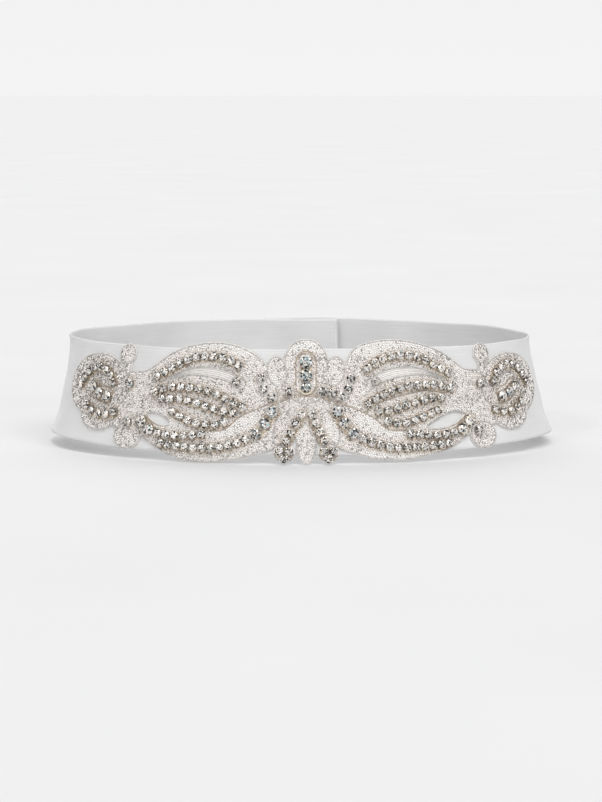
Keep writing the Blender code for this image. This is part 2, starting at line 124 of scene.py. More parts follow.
# Rows whose curve differs on the left half, written as if they were on the right half
LEFT_CURVES = {
    "leaf top": [(32.4, 16.8), (38.0, 19.8), (46.0, 20.9), (57.0, 19.2), (73.2, 10.6)],
    "lens upper": [(29.6, -2.6), (36.6, 0.8), (45.6, 4.2), (55.0, 6.0), (64.6, 5.9), (73.4, 3.3)],
    "lens lower": [(33.8, -5.2), (40.0, -4.5), (49.5, -1.7), (59.0, 0.4), (64.9, 0.4)],
    "lens third": [(37.6, -9.6), (45.0, -11.0), (54.0, -9.8), (63.2, -5.6)],
    "rosette ring": [(98.4, 6.0), (101.6, 10.4), (108.0, 12.9), (115.4, 10.9), (121.0, 3.6)],
    "rosette foot": [(95.0, -7.6), (101.0, -9.4), (107.6, -9.0), (113.8, -5.6)],
    "leaf heel": [(15.6, -4.7), (19.0, -10.1), (22.8, -14.8)],
    "leaf foot": [(27.6, -17.6), (34.2, -20.3), (43.0, -21.9), (55.0, -21.9), (67.6, -20.6)],
    "fan": [(2.5, -6.0), (5.7, -11.8), (9.3, -18.4)],
    "neck lower": [(86.4, -12.0)],
    "loose stone": [(69.5, 0.2)],
}

# Rows in the middle, written as above
COLUMN_FOOT = (0.0, 6.8)
MIDDLE_ROWS = [
    ("arch column", 5.5, 2, [(0.0, 18.6), (0.0, 12.5)]),
    ("arch column foot", 4.5, 1, [COLUMN_FOOT]),
]

# Lines couched inside the shapes, on the right half: the first two bound a strip of bare net
STRIP_TOP = [(28.6, 9.8), (36.0, 13.6), (45.0, 15.6), (56.0, 15.0), (69.0, 9.4)]
STRIP_FOOT = [(30.5, 6.0), (38.0, 9.6), (47.0, 11.4), (57.0, 11.6), (70.0, 8.4)]
SILVER_LINES = [
    STRIP_TOP,
    STRIP_FOOT,
    [(97.0, 4.2), (101.4, 8.2), (108.0, 10.2), (114.4, 7.8), (117.6, 1.2), (113.4, -4.0), (106.0, -6.2)],
]
BRONZE_LINES = [
    [(97.6, 1.0), (101.0, 3.4), (105.6, 4.6), (108.0, 6.4), (112.4, 7.0)],
    [(99.4, -4.4), (104.4, -3.8), (109.8, -1.6), (114.4, 1.8)],
    [(0.0, 3.9), (6.6, 3.2), (11.7, 1.2), (17.0, -0.8), (24.6, -4.0), (31.0, -7.4), (38.0, -13.2),
     (46.0, -14.0)],
    [(31.5, -1.6), (37.0, 0.2), (46.0, 2.6), (58.0, 4.2), (68.0, 2.8)],
    [(0.0, 2.9), (6.4, 2.3), (11.4, 0.4), (15.4, -1.2)],
    [(0.0, 23.0), (2.2, 22.3), (3.6, 20.2)],
]
ARCH_SLOT = [
    (-4.6, 6.4), (-2.6, 4.2), (0.0, 3.6), (2.6, 4.2), (4.6, 6.4), (4.8, 12.0), (4.9, 18.5),
    (3.4, 22.4), (0.0, 24.0), (-3.4, 22.4), (-4.9, 18.5), (-4.8, 12.0),
]

# The camera, placed as for the photograph
CAMERA_DISTANCE = 1.445
CAMERA_ELEVATION = 5.92
CAMERA_AIM = (0.0, 0.0, -0.0093)
CAMERA_LENS = 129.5
SENSOR = 36.0
NEAREST_SEEN = 0.01


def new_object(name, data):
    """An object made of the data given, in the scene."""
    made = bpy.data.objects.new(name, data)
    bpy.context.scene.collection.objects.link(made)
    return made


def make_camera():
    """The camera at the photograph's angle."""
    data = bpy.data.cameras.new("camera")
    data.lens = CAMERA_LENS
    data.sensor_width = SENSOR
    data.clip_start = NEAREST_SEEN
    camera = new_object("camera", data)
    rise = math.radians(CAMERA_ELEVATION)
    camera.location = (0.0, -CAMERA_DISTANCE * math.cos(rise), CAMERA_DISTANCE * math.sin(rise))
    look = Vector(CAMERA_AIM) - camera.location
    camera.rotation_euler = look.to_track_quat("-Z", "Y").to_euler()
    bpy.context.scene.camera = camera


make_camera()


# Places on the waist

LAST_TURN = 1.25 * math.pi
WAIST_SAMPLES = 4001


def measure_waist():
    """Turns round the waist, and the ribbon's length from the front centre to each of them."""
    turns = np.linspace(0.0, LAST_TURN, WAIST_SAMPLES)
    speeds = np.hypot(WAIST_HALF_WIDTH * np.cos(turns), WAIST_HALF_DEPTH * np.sin(turns))
    steps = (speeds[1:] + speeds[:-1]) / 2 * np.diff(turns)
    return turns, np.concatenate([[0.0], np.cumsum(steps)])


WAIST_TURNS, WAIST_LENGTHS = measure_waist()
HALF_ROUND = float(np.interp(math.pi, WAIST_TURNS, WAIST_LENGTHS))


def waist_frames(along, height):
    """Places on the ribbon's inner face, in metres, with the directions forward, upward and outward."""
    turn = np.sign(along) * np.interp(np.abs(along), WAIST_LENGTHS, WAIST_TURNS)
    sine, cosine, none = np.sin(turn), np.cos(turn), np.zeros_like(turn)
    half_width = WAIST_HALF_WIDTH - SIDE_FLARE * height
    half_depth = WAIST_HALF_DEPTH - FRONT_FLARE * height
    place = np.stack([half_width * sine, -half_depth * cosine, height], axis=-1)
    forward = np.stack([half_width * cosine, half_depth * sine, none], axis=-1)
    upward = np.stack([-SIDE_FLARE * sine, FRONT_FLARE * cosine, none + 1.0], axis=-1)
    outward = np.cross(forward, upward)
    forward /= np.linalg.norm(forward, axis=-1, keepdims=True)
    outward /= np.linalg.norm(outward, axis=-1, keepdims=True)
    return place, forward, np.cross(outward, forward), outward


def waist_points(along, height, out):
    """Places of points of the sash, everything in metres."""
    place, _, _, outward = waist_frames(np.asarray(along, float), np.asarray(height, float))
    return place + outward * np.asarray(out, float)[..., None]


def applique_points(points, out):
    """Places of the applique's points, given in its own millimetres, at heights over the waist."""
    points = np.asarray(points, float)
    return waist_points((points[:, 0] + APPLIQUE_SHIFT) * MM, points[:, 1] * MM, np.asarray(out) * MM)


def even_share(value, start, stop):
    """0 before the start, 1 past the stop, and evenly more between them."""
    return np.clip((value - start) / (stop - start), 0.0, 1.0)


def smooth_share(value, start, stop):
    """The same, with a soft turn at both ends."""
    share = even_share(value, start, stop)
    return share * share * (3.0 - 2.0 * share)


def lap_lift(along):
    """How far the outer end of the ribbon is lifted over the inner end."""
    ramp_end = HALF_ROUND - LAP / 2 - 2 * RIBBON_THICKNESS
    return (RIBBON_THICKNESS + LAP_ROOM) * smooth_share(along, ramp_end - LAP_RAMP, ramp_end)


# Curves and outlines, in the applique's millimetres

FINE_STEP = 1.0
FEWEST_OVAL_POINTS = 14
TO_LEFT = (-1.0, 1.0)


def circle(count, radius=1.0, shift=0.0):
    """Points round a circle, counterclockwise from its right, shifted by a part of the way between two."""
    turns = 2 * math.pi * (np.arange(count) + shift) / count
    return radius * np.column_stack([np.cos(turns), np.sin(turns)])


def oval_outline(along, height, half_width, half_height, tilt):
    """Points round an oval, counterclockwise."""
    count = max(FEWEST_OVAL_POINTS, round(math.pi * (half_width + half_height) / FINE_STEP))
    x, y = (circle(count) * (half_width, half_height)).T
    lean = math.radians(tilt)
    return np.column_stack([
        along + x * math.cos(lean) - y * math.sin(lean),
        height + x * math.sin(lean) + y * math.cos(lean),
    ])


def smooth_points(points, closed):
    """A dense, rounded curve through the points given."""
    knots = np.array(points, dtype=float)
    if closed:
        knots = np.vstack([knots[-1], knots, knots[:2]])
    else:
        knots = np.vstack([2 * knots[0] - knots[1], knots, 2 * knots[-1] - knots[-2]])
    dense = []
    for index in range(1, len(knots) - 2):
        before, start, stop, after = knots[index - 1:index + 3]
        for share in np.linspace(0.0, 1.0, CURVE_SAMPLES, endpoint=False):
            dense.append(0.5 * (
                2 * start
                + (stop - before) * share
                + (2 * before - 5 * start + 4 * stop - after) * share ** 2
                + (3 * start - before - 3 * stop + after) * share ** 3
            ))
    dense.append(knots[-2])
    return np.array(dense)


def curve_length(curve):
    """The length of a curve from its first point to its last."""
    return float(np.hypot(*np.diff(curve, axis=0).T).sum())


def spaced_points(curve, count):
    """Points at equal distances along a curve, its two ends included."""
    lengths = np.concatenate([[0.0], np.cumsum(np.hypot(*np.diff(curve, axis=0).T))])
    places = np.linspace(0.0, lengths[-1], count)
    return np.column_stack([np.interp(places, lengths, curve[:, axis]) for axis in (0, 1)])


def loop_outline(points):
    """Points round a rounded closed curve."""
    curve = smooth_points(points, closed=True)
    return spaced_points(curve, round(curve_length(curve) / FINE_STEP) + 1)[:-1]


def ring_of(outline):
    """The outline with its first point once more at its end."""
    return np.vstack([outline, outline[:1]])


def directions(points):
    """The turn of a line at each of its points, and the unit vector to its left there."""
    ahead = np.gradient(points, axis=0)
    ahead /= np.hypot(*ahead.T)[:, None]
    return np.arctan2(ahead[:, 1], ahead[:, 0]), np.column_stack([-ahead[:, 1], ahead[:, 0]])


def mirrored(points):
    """The same closed outline on the left half, still counterclockwise."""
    return np.asarray(points, float)[::-1] * TO_LEFT


def make_shapes():
    """Every outline of the applique with its layer, and the windows cut in it."""
    shapes = [(oval_outline(*row[1:6]), row[6]) for row in MIDDLE_OVALS]
    sides = [(oval_outline(*row[1:6]), row[6]) for row in SIDE_OVALS]
    for outline, layer in sides:
        shapes += [(outline, layer), (mirrored(outline), layer)]
    shapes += [(loop_outline(RIGHT_LEAF), LEAF_LAYER), (mirrored(loop_outline(LEFT_LEAF)), LEAF_LAYER)]
    return shapes, [loop_outline(LEAF_WINDOW), mirrored(loop_outline(LEFT_WINDOW))]


def row_places(curve, count):
    """The places of a row's stones along its curve, or of its one stone."""
    return spaced_points(smooth_points(curve, closed=False), count) if count > 1 else np.array(curve)


def make_rows():
    """Every row of stones: its name, diameter and places from end to end."""
    rows = [(name, diameter, row_places(curve, count)) for name, diameter, count, curve in MIDDLE_ROWS]
    for name, diameter, count, curve in SIDE_ROWS:
        rows.append((name, diameter, row_places(curve, count)))
        rows.append((name, diameter, row_places(LEFT_CURVES.get(name, curve), count) * TO_LEFT))
    return rows


# The shortest edge that an outline keeps, and how near points are merged
SHORTEST_EDGE = 0.4
MERGE_WITHIN = 1e-4


def joined_outlines(shapes, windows):
    """Closed loops round the union of the shapes, less the windows."""
    points, rings = [], []
    for outline in shapes + windows:
        rings.append(list(range(len(points), len(points) + len(outline))))
        points += [Vector(point) for point in outline]
    places, _, triangles, _, _, owners = delaunay_2d_cdt(points, [], rings, 1, MERGE_WITHIN, True)
    edges = set()
    for triangle, inside in zip(triangles, owners):
        if inside and max(inside) < len(shapes):
            edges.update(zip(triangle, triangle[1:] + triangle[:1]))
    following = {start: stop for start, stop in edges if (stop, start) not in edges}
    loops = []
    for start in sorted(following):
        if start not in following:
            continue
        stop = following.pop(start)
        loop = [places[start]]
        while stop != start:
            if (places[stop] - loop[-1]).length > SHORTEST_EDGE:
                loop.append(places[stop])
            stop = following.pop(stop)
        loop = np.array([tuple(point) for point in loop]).reshape(-1, 2)
        x, y = loop.T
        if len(loop) > 2 and abs(float(x @ np.roll(y, -1) - y @ np.roll(x, -1))) / 2 > SMALLEST_WINDOW:
            loops.append(loop)
    return loops


def loop_edges(loops):
    """The first and the last points of all the edges of some closed outlines."""
    return np.vstack(loops), np.vstack([np.roll(loop, -1, axis=0) for loop in loops])


def crossings(starts, stops, height):
    """Where the edges cross a height, from left to right."""
    crossed = (starts[:, 1] < height) != (stops[:, 1] < height)
    (x0, y0), (x1, y1) = starts[crossed].T, stops[crossed].T
    return np.sort(x0 + (height - y0) * (x1 - x0) / (y1 - y0))


def inside_loops(points, loops):
    """Which of the points lie inside the closed outlines, with an odd number of edges to their left."""
    starts, stops = loop_edges(loops)
    return np.array([np.searchsorted(crossings(starts, stops, y), x) % 2 == 1 for x, y in points])


SHAPES, WINDOWS = make_shapes()
ROWS = make_rows()
LOOPS = joined_outlines([outline for outline, _ in SHAPES], WINDOWS)
STONES = np.array([(*place, diameter) for _, diameter, places in ROWS for place in places])


# Charts: fine grids over the applique that hold a value for each place

CHART_STEP = 0.1
CHART_MARGIN = 1.0
NO_LAYER = 99
RIM_STEP = 0.25
RIM_REACH, STONE_REACH = 2.0, 4.0
BETWEEN_SIZE = 0.8


def chart_axes():
    """The places of the charts' columns and rows."""
    low = np.vstack(LOOPS).min(axis=0) - CHART_MARGIN
    high = np.vstack(LOOPS).max(axis=0) + CHART_MARGIN
    return [np.arange(low[axis], high[axis], CHART_STEP) for axis in (0, 1)]


CHART_X, CHART_Y = chart_axes()


def inside_chart(loops):
    """Which places lie inside the closed outlines, found row by row."""
    inside = np.zeros((len(CHART_Y), len(CHART_X)), dtype=bool)
    starts, stops = loop_edges(loops)
    low, high = starts[:, 1].min(), starts[:, 1].max()
    for row in np.flatnonzero((CHART_Y >= low) & (CHART_Y <= high)):
        inside[row] = np.searchsorted(crossings(starts, stops, CHART_Y[row]), CHART_X) % 2 == 1
    return inside


def distance_chart(places, sizes, reach):
    """The distance to the nearest of some round places, from their edges and up to a reach."""
    nearest = np.full((len(CHART_Y), len(CHART_X)), reach, dtype=float)
    for (x, y), size in zip(places, sizes):
        wide = reach + size / 2
        left, right = np.searchsorted(CHART_X, (x - wide, x + wide))
        below, above = np.searchsorted(CHART_Y, (y - wide, y + wide))
        gaps = np.hypot(CHART_X[None, left:right] - x, CHART_Y[below:above, None] - y) - size / 2
        part = nearest[below:above, left:right]
        np.minimum(part, gaps, out=part)
    return nearest


def read_chart(chart, points):
    """The chart's values at the points."""
    column = np.rint((points[:, 0] - CHART_X[0]) / CHART_STEP).astype(int)
    row = np.rint((points[:, 1] - CHART_Y[0]) / CHART_STEP).astype(int)
    return chart[np.clip(row, 0, len(CHART_Y) - 1), np.clip(column, 0, len(CHART_X) - 1)]


INSIDE = inside_chart(LOOPS)
EACH_INSIDE = [inside_chart([outline]) for outline, _ in SHAPES]
FRONT_LAYER = np.min([
    np.where(chart, layer, NO_LAYER) for chart, (_, layer) in zip(EACH_INSIDE, SHAPES)
], axis=0)
RIM = np.vstack([spaced_points(ring_of(loop), round(curve_length(loop) / RIM_STEP)) for loop in LOOPS])
RIM_GAP = distance_chart(RIM, np.zeros(len(RIM)), RIM_REACH)
BETWEEN = np.vstack([
    np.column_stack([(places[1:] + places[:-1]) / 2, np.full(len(places) - 1, diameter * BETWEEN_SIZE)])
    for _, diameter, places in ROWS
])
STONE_GAP = distance_chart(
    np.vstack([STONES[:, :2], BETWEEN[:, :2]]), np.concatenate([STONES[:, 2], BETWEEN[:, 2]]), STONE_REACH,
)


# Meshes and materials

def add_mesh(name, points, faces, material, smooth=False):
    """A piece made of the points and faces given, riding on the sash's one body."""
    mesh = bpy.data.meshes.new(name)
    mesh.from_pydata(np.asarray(points, float).tolist(), [], faces)
    mesh.materials.append(material)
    mesh.polygons.foreach_set("use_smooth", [smooth] * len(mesh.polygons))
    mesh.update()
    piece = new_object(name, mesh)
    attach(piece, "root")
    return piece


def tube_faces(first, sides, rings):
    """Faces between neighbouring rings of points, from the point named first on, and one over each end."""
    faces = []
    for low in range(first, first + (rings - 1) * sides, sides):
        for side in range(sides):
            following = (side + 1) % sides
            faces.append((low + side, low + following, low + sides + following, low + sides + side))
    last = first + (rings - 1) * sides
    faces.append(tuple(range(first, first + sides))[::-1])
    faces.append(tuple(range(last, last + sides)))
    return faces


def set_cloth(piece, values):
    """A vector for each vertex, in millimetres on the flat cloth, which materials read as the cloth."""
    attribute = piece.data.attributes.new("cloth", "FLOAT_VECTOR", "POINT")
    attribute.data.foreach_set("vector", np.asarray(values, np.float32).ravel())


def set_tones(piece, values):
    """A colour for each face corner, which materials read as the tone."""
    attribute = piece.data.color_attributes.new("tone", "FLOAT_COLOR", "CORNER")
    full = np.ones((len(values), 4), np.float32)
    full[:, :3] = values
    attribute.data.foreach_set("color", full.ravel())


class Material:
    """A node material, with short ways to add nodes to it."""

    def __init__(self, name, **constants):
        self.material = bpy.data.materials.new(name)
        self.material.use_nodes = True
        self.tree = self.material.node_tree
        self.shader = self.tree.nodes["Principled BSDF"]
        for socket, value in constants.items():
            self.shader.inputs[socket.replace("_", " ")].default_value = value

    def node(self, kind, inputs=(), **settings):
        made = self.tree.nodes.new(kind)
        for key, value in settings.items():
            setattr(made, key, value)
        for socket, value in dict(inputs).items():
            if isinstance(value, bpy.types.NodeSocket):
                self.tree.links.new(value, made.inputs[socket])
            else:
                made.inputs[socket].default_value = value
        return made

    def feed(self, socket, output):
        self.tree.links.new(output, self.shader.inputs[socket])

    def attribute(self, name, output="Vector"):
        return self.node("ShaderNodeAttribute", attribute_name=name).outputs[output]

    def place(self):
        return self.node("ShaderNodeTexCoord").outputs["Object"]

    def scaled(self, vector, scale):
        made = self.node("ShaderNodeVectorMath", {0: vector, 1: scale}, operation="MULTIPLY")
        return made.outputs["Vector"]

    def noise(self, vector, scale, detail):
        inputs = {"Vector": vector, "Scale": scale, "Detail": detail, "Roughness": 0.5}
        return self.node("ShaderNodeTexNoise", inputs).outputs["Fac"]

    def ramp(self, value, low, high, start=0.3, stop=0.7):
        """Values from low to high as the input goes from start to stop."""
        inputs = {"Value": value, "From Min": start, "From Max": stop, "To Min": low, "To Max": high}
        return self.node("ShaderNodeMapRange", inputs).outputs["Result"]

    def tints(self, value, low, high, start=0.3, stop=0.7):
        """Colours from low to high as the input goes from start to stop."""
        made = self.node("ShaderNodeValToRGB", {"Fac": value})
        first, second = made.color_ramp.elements
        first.position, second.position = start, stop
        first.color, second.color = (*low, 1.0), (*high, 1.0)
        return made.outputs["Color"]

    def greys(self, value, low, high, start=0.3, stop=0.7):
        """Greys from low to high as the input goes from start to stop."""
        return self.tints(value, (low,) * 3, (high,) * 3, start, stop)

    def multiplied(self, first, *others):
        """The product of some colours."""
        for second in others:
            made = self.node("ShaderNodeMix", data_type="RGBA", blend_type="MULTIPLY")
            made.inputs["Factor"].default_value = 1.0
            self.tree.links.new(first, made.inputs["A"])
            self.tree.links.new(second, made.inputs["B"])
            first = made.outputs["Result"]
        return first

    def bump(self, height, strength, distance, below=None):
        inputs = {"Height": height, "Strength": strength, "Distance": distance}
        if below is not None:
            inputs["Normal"] = below
        return self.node("ShaderNodeBump", inputs).outputs["Normal"]


def grained_material(name, grain, low, high, gloss=(), relief=(), toned=False, span=(0.3, 0.7), **constants):
    """A material with a fine grain, given by its scale and detail, between a low and a high colour.

    The gloss gives the roughness at both ends of the grain, and the relief its strength and depth. A
    toned material also takes each face's own tone.
    """
    made = Material(name, **constants)
    grain = made.noise(made.place(), *grain)
    colour = made.tints(grain, low, high, *span)
    if toned:
        colour = made.multiplied(made.attribute("tone", "Color"), colour)
    made.feed("Base Color", colour)
    if gloss:
        made.feed("Roughness", made.ramp(grain, *gloss))
    if relief:
        made.feed("Normal", made.bump(grain, *relief))
    return made.material


def ribbon_material():
    """Dull satin ribbon: fine floats along its length, soft streaks and a firmer woven edge.

    Its lower half is painted paler than its top, as painted light on the flare that faces upward.
    """
    made = Material("ribbon_satin", Roughness=0.5, Sheen_Weight=0.2, Sheen_Roughness=0.4)
    cloth = made.attribute("cloth")
    streak = made.noise(made.scaled(cloth, (0.045, 1.5, 1.0)), 1.0, 3.0)
    cloud = made.noise(made.scaled(cloth, (0.03, 0.05, 1.0)), 1.0, 2.0)
    floats = made.node("ShaderNodeTexBrick", {
        "Vector": cloth, "Color1": (1, 1, 1, 1), "Color2": (0.8, 0.8, 0.8, 1), "Mortar": (0, 0, 0, 1),
        "Scale": 1.0, "Mortar Size": 0.05, "Mortar Smooth": 0.6, "Brick Width": 1.3, "Row Height": 0.27,
    }).outputs["Color"]
    height = made.node("ShaderNodeSeparateXYZ", {"Vector": cloth}).outputs["Y"]
    reach = made.node("ShaderNodeMath", {0: height}, operation="ABSOLUTE").outputs["Value"]
    groove = made.node("ShaderNodeMath", {0: reach, 1: 23.8, 2: 0.14}, operation="COMPARE").outputs["Value"]
    made.feed("Base Color", made.multiplied(
        made.tints(streak, (0.64, 0.64, 0.637), (0.69, 0.69, 0.69)),
        made.greys(cloud, 0.90, 1.0),
        # Painted light: the cloth is painted paler toward its lower edge, where the flare faces the light
        # above
        made.greys(made.ramp(height, 0.0, 1.0, -20.0, 12.0), 1.06, 0.99, 0.0, 1.0),
        made.greys(made.ramp(reach, 0.0, 1.0, 23.7, 24.7), 1.0, 1.05, 0.2, 0.4),
        made.greys(groove, 1.0, 0.9, 0.0, 1.0),
    ))
    made.feed("Roughness", made.ramp(streak, 0.5, 0.6))
    weave = made.bump(floats, 0.25, 0.00006)
    made.feed("Normal", made.bump(streak, 0.3, 0.0002, weave))
    return made.material


def net_material():
    """Fine net over a white lining: six-sided holes, a little darker than their threads."""
    made = Material("net", Roughness=0.7, Sheen_Weight=0.1)
    place = made.attribute("cloth")
    cells = made.node("ShaderNodeTexVoronoi", {
        "Vector": place, "Scale": 1.6, "Randomness": 0.25,
    }, feature="DISTANCE_TO_EDGE", voronoi_dimensions="2D").outputs["Distance"]
    made.feed("Base Color", made.tints(cells, (0.91, 0.88, 0.86), (0.81, 0.775, 0.75), 0.05, 0.16))
    made.feed("Normal", made.bump(cells, -0.5, 0.0002))
    return made.material


def bead_material():
    """Silver-lined clear glass, whose depth of tone differs from bead to bead."""
    return grained_material(
        "glass_beads", (1500.0, 2.0), (0.92, 0.92, 0.92), (1.0, 1.0, 1.0), gloss=(0.14, 0.34), toned=True,
        Metallic=0.05, Coat_Weight=0.8, Coat_Roughness=0.05,
    )


def stone_material():
    """Foil-backed cut glass: each facet's own tone holds painted glints and painted dark reflections, under a
    real gloss.
    """
    return grained_material(
        "cut_glass", (900.0, 1.0), (0.9, 0.9, 0.9), (1.0, 1.0, 1.0), gloss=(0.04, 0.12), toned=True,
        Metallic=0.5, Coat_Weight=0.4, Coat_Roughness=0.02,
    )


def cup_material():
    """Plated cups whose bodies carry a painted shade from their tone, darker than their bright claws."""
    return grained_material(
        "plated_cups", (700.0, 3.0), (0.62, 0.57, 0.50), (0.86, 0.82, 0.76), gloss=(0.36, 0.22),
        relief=(0.2, 0.0001), toned=True, Metallic=1.0,
    )


def cord_material(name, low, high):
    """Metal thread wound round a core."""
    return grained_material(
        name, (1100.0, 3.0), low, high, gloss=(0.55, 0.35), relief=(0.4, 0.0002), span=(0.36, 0.64),
        Metallic=0.4,
    )


def thread_material():
    """White sewing thread with a twist."""
    return grained_material(
        "thread", (2500.0, 2.0), (0.62, 0.61, 0.59), (0.80, 0.79, 0.77), relief=(0.4, 0.0001),
        Roughness=0.65, Sheen_Weight=0.3,
    )


def hook_material():
    """Nickelled wire and sheet with fine rubbing marks."""
    made = Material("nickel_plate", Metallic=1.0)
    marks = made.noise(made.scaled(made.place(), (300.0, 300.0, 4000.0)), 1.0, 3.0)
    cloud = made.noise(made.place(), 350.0, 2.0)
    made.feed("Base Color", made.tints(cloud, (0.50, 0.50, 0.49), (0.68, 0.68, 0.67)))
    made.feed("Roughness", made.ramp(marks, 0.24, 0.42))
    made.feed("Normal", made.bump(marks, 0.15, 0.00005))
    return made.material


# The ribbon

# Its mesh and its woven edges, in metres
RIBBON_ROWS = 26
RIBBON_FINE_STEP = 0.0016
RIBBON_INNER = 0.00030
ROW_CROWDING = 1.25
EDGE_WIDTH = 0.0011
EDGE_RISE = 0.00012
EDGE_ROUND, EDGE_LEAST = 0.0004, 0.35

# Waves of the cloth: how far, radians per metre along and up, and the start
SLOW_WAVES = [(0.00035, 61.0, 0.0, 0.6), (0.00021, 103.0, 70.0, 2.1)]
FOLD_WAVES = [(0.0004, 24.0, 420.0, 0.0)]
EDGE_WAVES = [(0.00022, 43.0, 0.0, 1.0), (0.00012, 121.0, 0.0, 0.0)]
WAVES_FROM, WAVES_RAMP, WAVES_END = 0.128, 0.03, 0.03
FOLD_PLACE, FOLD_REACH = 0.146, 0.014

# How far the sides of the waist draw in and rise, and where that starts, is full, fades and ends
LEFT_BOW, LEFT_LEAN = 0.0023, 0.0004
RIGHT_BOW, RIGHT_LEAN = 0.0016, 0.0010
SIDE_RISE = 0.0018
DRAWN_SPAN = (0.129, 0.156, 0.185, 0.24)
RISEN_SPAN = (0.070, 0.135, 0.19, 0.26)


def waves(rows, along, height=0.0):
    """The sum of some waves at places on the ribbon."""
    return sum(far * np.sin(along * ahead + height * up + start) for far, ahead, up, start in rows)


def ribbon_wave(along, height):
    """How far the cloth stands out or in from an even band, away from the applique."""
    reach = np.abs(along)
    free = even_share(reach, WAVES_FROM, WAVES_FROM + WAVES_RAMP)
    free *= even_share(HALF_ROUND - WAVES_END - reach, 0.0, WAVES_RAMP)
    folded = np.exp(-((reach - FOLD_PLACE) / FOLD_REACH) ** 2)
    return free * (waves(SLOW_WAVES, along, height) + waves(FOLD_WAVES, along, height) * folded)


def side_share(along, span):
    """1 at the two sides of the waist and 0 away from them, with soft turns."""
    start, full, fade, end = span
    reach = np.abs(along)
    return smooth_share(reach, start, full) * (1.0 - smooth_share(reach, fade, end))


def side_draw(along, height):
    """How far the worn cloth draws in at the two sides of the waist, between its edges."""
    level = height / RIBBON_HALF_HEIGHT
    bow = 1.0 - level ** 4
    right = RIGHT_BOW * bow + RIGHT_LEAN * (1.0 + level)
    left = LEFT_BOW * bow + LEFT_LEAN * (1.0 - level)
    return side_share(along, DRAWN_SPAN) * np.where(along > 0, right, left)


def raised_height(along, height):
    """The height of the cloth, whose edges wander a little and whose lower edge rises at the sides."""
    level = height / RIBBON_HALF_HEIGHT
    rise = SIDE_RISE * side_share(along, RISEN_SPAN) * np.clip(-level, 0.0, 1.0) ** 2
    return height + waves(EDGE_WAVES, along) * level + rise


def ribbon_section():
    """The height and place outward of the strip's corners, up its inner face and down its outer one."""
    level = np.linspace(-1.0, 1.0, RIBBON_ROWS)
    heights = np.sign(level) * RIBBON_HALF_HEIGHT * (1.0 - (1.0 - np.abs(level)) ** ROW_CROWDING)
    from_edge = RIBBON_HALF_HEIGHT - np.abs(heights)
    bulge = (RIBBON_THICKNESS - RIBBON_INNER) / 2 + EDGE_RISE * (1.0 - even_share(from_edge, 0.0, EDGE_WIDTH))
    bulge *= np.sqrt(np.clip(from_edge / EDGE_ROUND, EDGE_LEAST, 1.0))
    middle = (RIBBON_THICKNESS + RIBBON_INNER) / 2
    inner, outer = np.column_stack([heights, middle - bulge]), np.column_stack([heights, middle + bulge])
    return np.vstack([inner, outer[::-1]])


def make_ribbon(material):
    """One strip of cloth with rounded woven edges, its two ends lapped at the back."""
    half, end = RIBBON_HALF_HEIGHT, HALF_ROUND + LAP / 2
    stations = np.linspace(-end, end, round(2 * end / RIBBON_FINE_STEP) + 1)
    section = ribbon_section()
    along = np.repeat(stations, len(section))
    height, out = np.tile(section, (len(stations), 1)).T
    out = out + lap_lift(along) + ribbon_wave(along, height) - side_draw(along, height)
    points = waist_points(along, raised_height(along, height), out)
    faces = [face[::-1] for face in tube_faces(0, len(section), len(stations))]
    piece = add_mesh("ribbon_cloth", points, faces, material, smooth=True)
    set_cloth(piece, np.column_stack([along / MM, height / MM, np.zeros(len(along))]))
    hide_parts("ribbon")


# The net

NET_THICKNESS = 0.35
NET_STEP = 4.0
NET_ROW = NET_STEP * math.sqrt(0.75)
NET_RIM_ROOM = 1.5
NET_MERGE_WITHIN = 1e-7
NET_TOP = NET_UNDERSIDE + NET_THICKNESS


def net_fill():
    """A grid of points inside the outline, clear of its rim."""
    corners = np.vstack(LOOPS)
    low, high = corners.min(axis=0), corners.max(axis=0)
    grid = []
    for row, height in enumerate(np.arange(low[1], high[1], NET_ROW)):
        shift = NET_STEP / 2 * (row % 2)
        grid += [(along, height) for along in np.arange(low[0] + shift, high[0], NET_STEP)]
    grid = np.array(grid)
    return grid[read_chart(INSIDE, grid) & (read_chart(RIM_GAP, grid) > NET_RIM_ROOM)]


def make_net(material):
    """The net ground of the applique, cut along the outline, with its two windows open."""
    points, edges = [], []
    for loop in LOOPS:
        first = len(points)
        edges += [(first + index, first + (index + 1) % len(loop)) for index in range(len(loop))]
        points += [Vector(point) for point in loop]
    points += [Vector(point) for point in net_fill()]
    _, _, triangles, sources, _, _ = delaunay_2d_cdt(points, edges, [], 0, NET_MERGE_WITHIN, True)
    triangles = np.array([[sources[corner][0] for corner in triangle] for triangle in triangles])
    places = np.array([tuple(point) for point in points])
    triangles = triangles[inside_loops(places[triangles].mean(axis=1), LOOPS)]
    corner, second, third = places[triangles].transpose(1, 0, 2)
    count = len(places)
    under = applique_points(places, np.full(count, NET_UNDERSIDE))
    over = applique_points(places, np.full(count, NET_TOP))
    faces = [*triangles[:, ::-1].tolist(), *(triangles + count).tolist()]
    faces += [(start, stop, count + stop, count + start) for start, stop in edges]
    piece = add_mesh("net", np.vstack([under, over]), faces, material)
    body = bmesh.new()
    body.from_mesh(piece.data)
    bmesh.ops.recalc_face_normals(body, faces=body.faces)
    body.to_mesh(piece.data)
    body.free()
    flat = np.column_stack([places, np.zeros(count)])
    set_cloth(piece, np.vstack([flat, flat]))
    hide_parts("applique")


# Beads

# Sizes of the beads and of the room round them
RIM_BEAD, FILL_BEAD, BRONZE_BEAD = 0.80, 1.0, 0.85
BUGLE, BUGLE_WIDTH = 2.1, 0.75
FILLER_SIZES = (1.0, 0.78, 0.56)
SPECK = 0.46
BEAD_SIZES = (0.84, 1.1)
FIT = 0.49
STONE_ROOM, LINE_STONE_ROOM = 0.18, 0.1
OUTLINE_ROOM, LINE_ROOM = 0.28, 0.5
FILLER_ROOM, FILLER_GRID = 0.6, 3
GRID_CELL = 1.3
OUTLINE, GROUND, FILLER, BRONZE, TUBE, DARK = range(6)

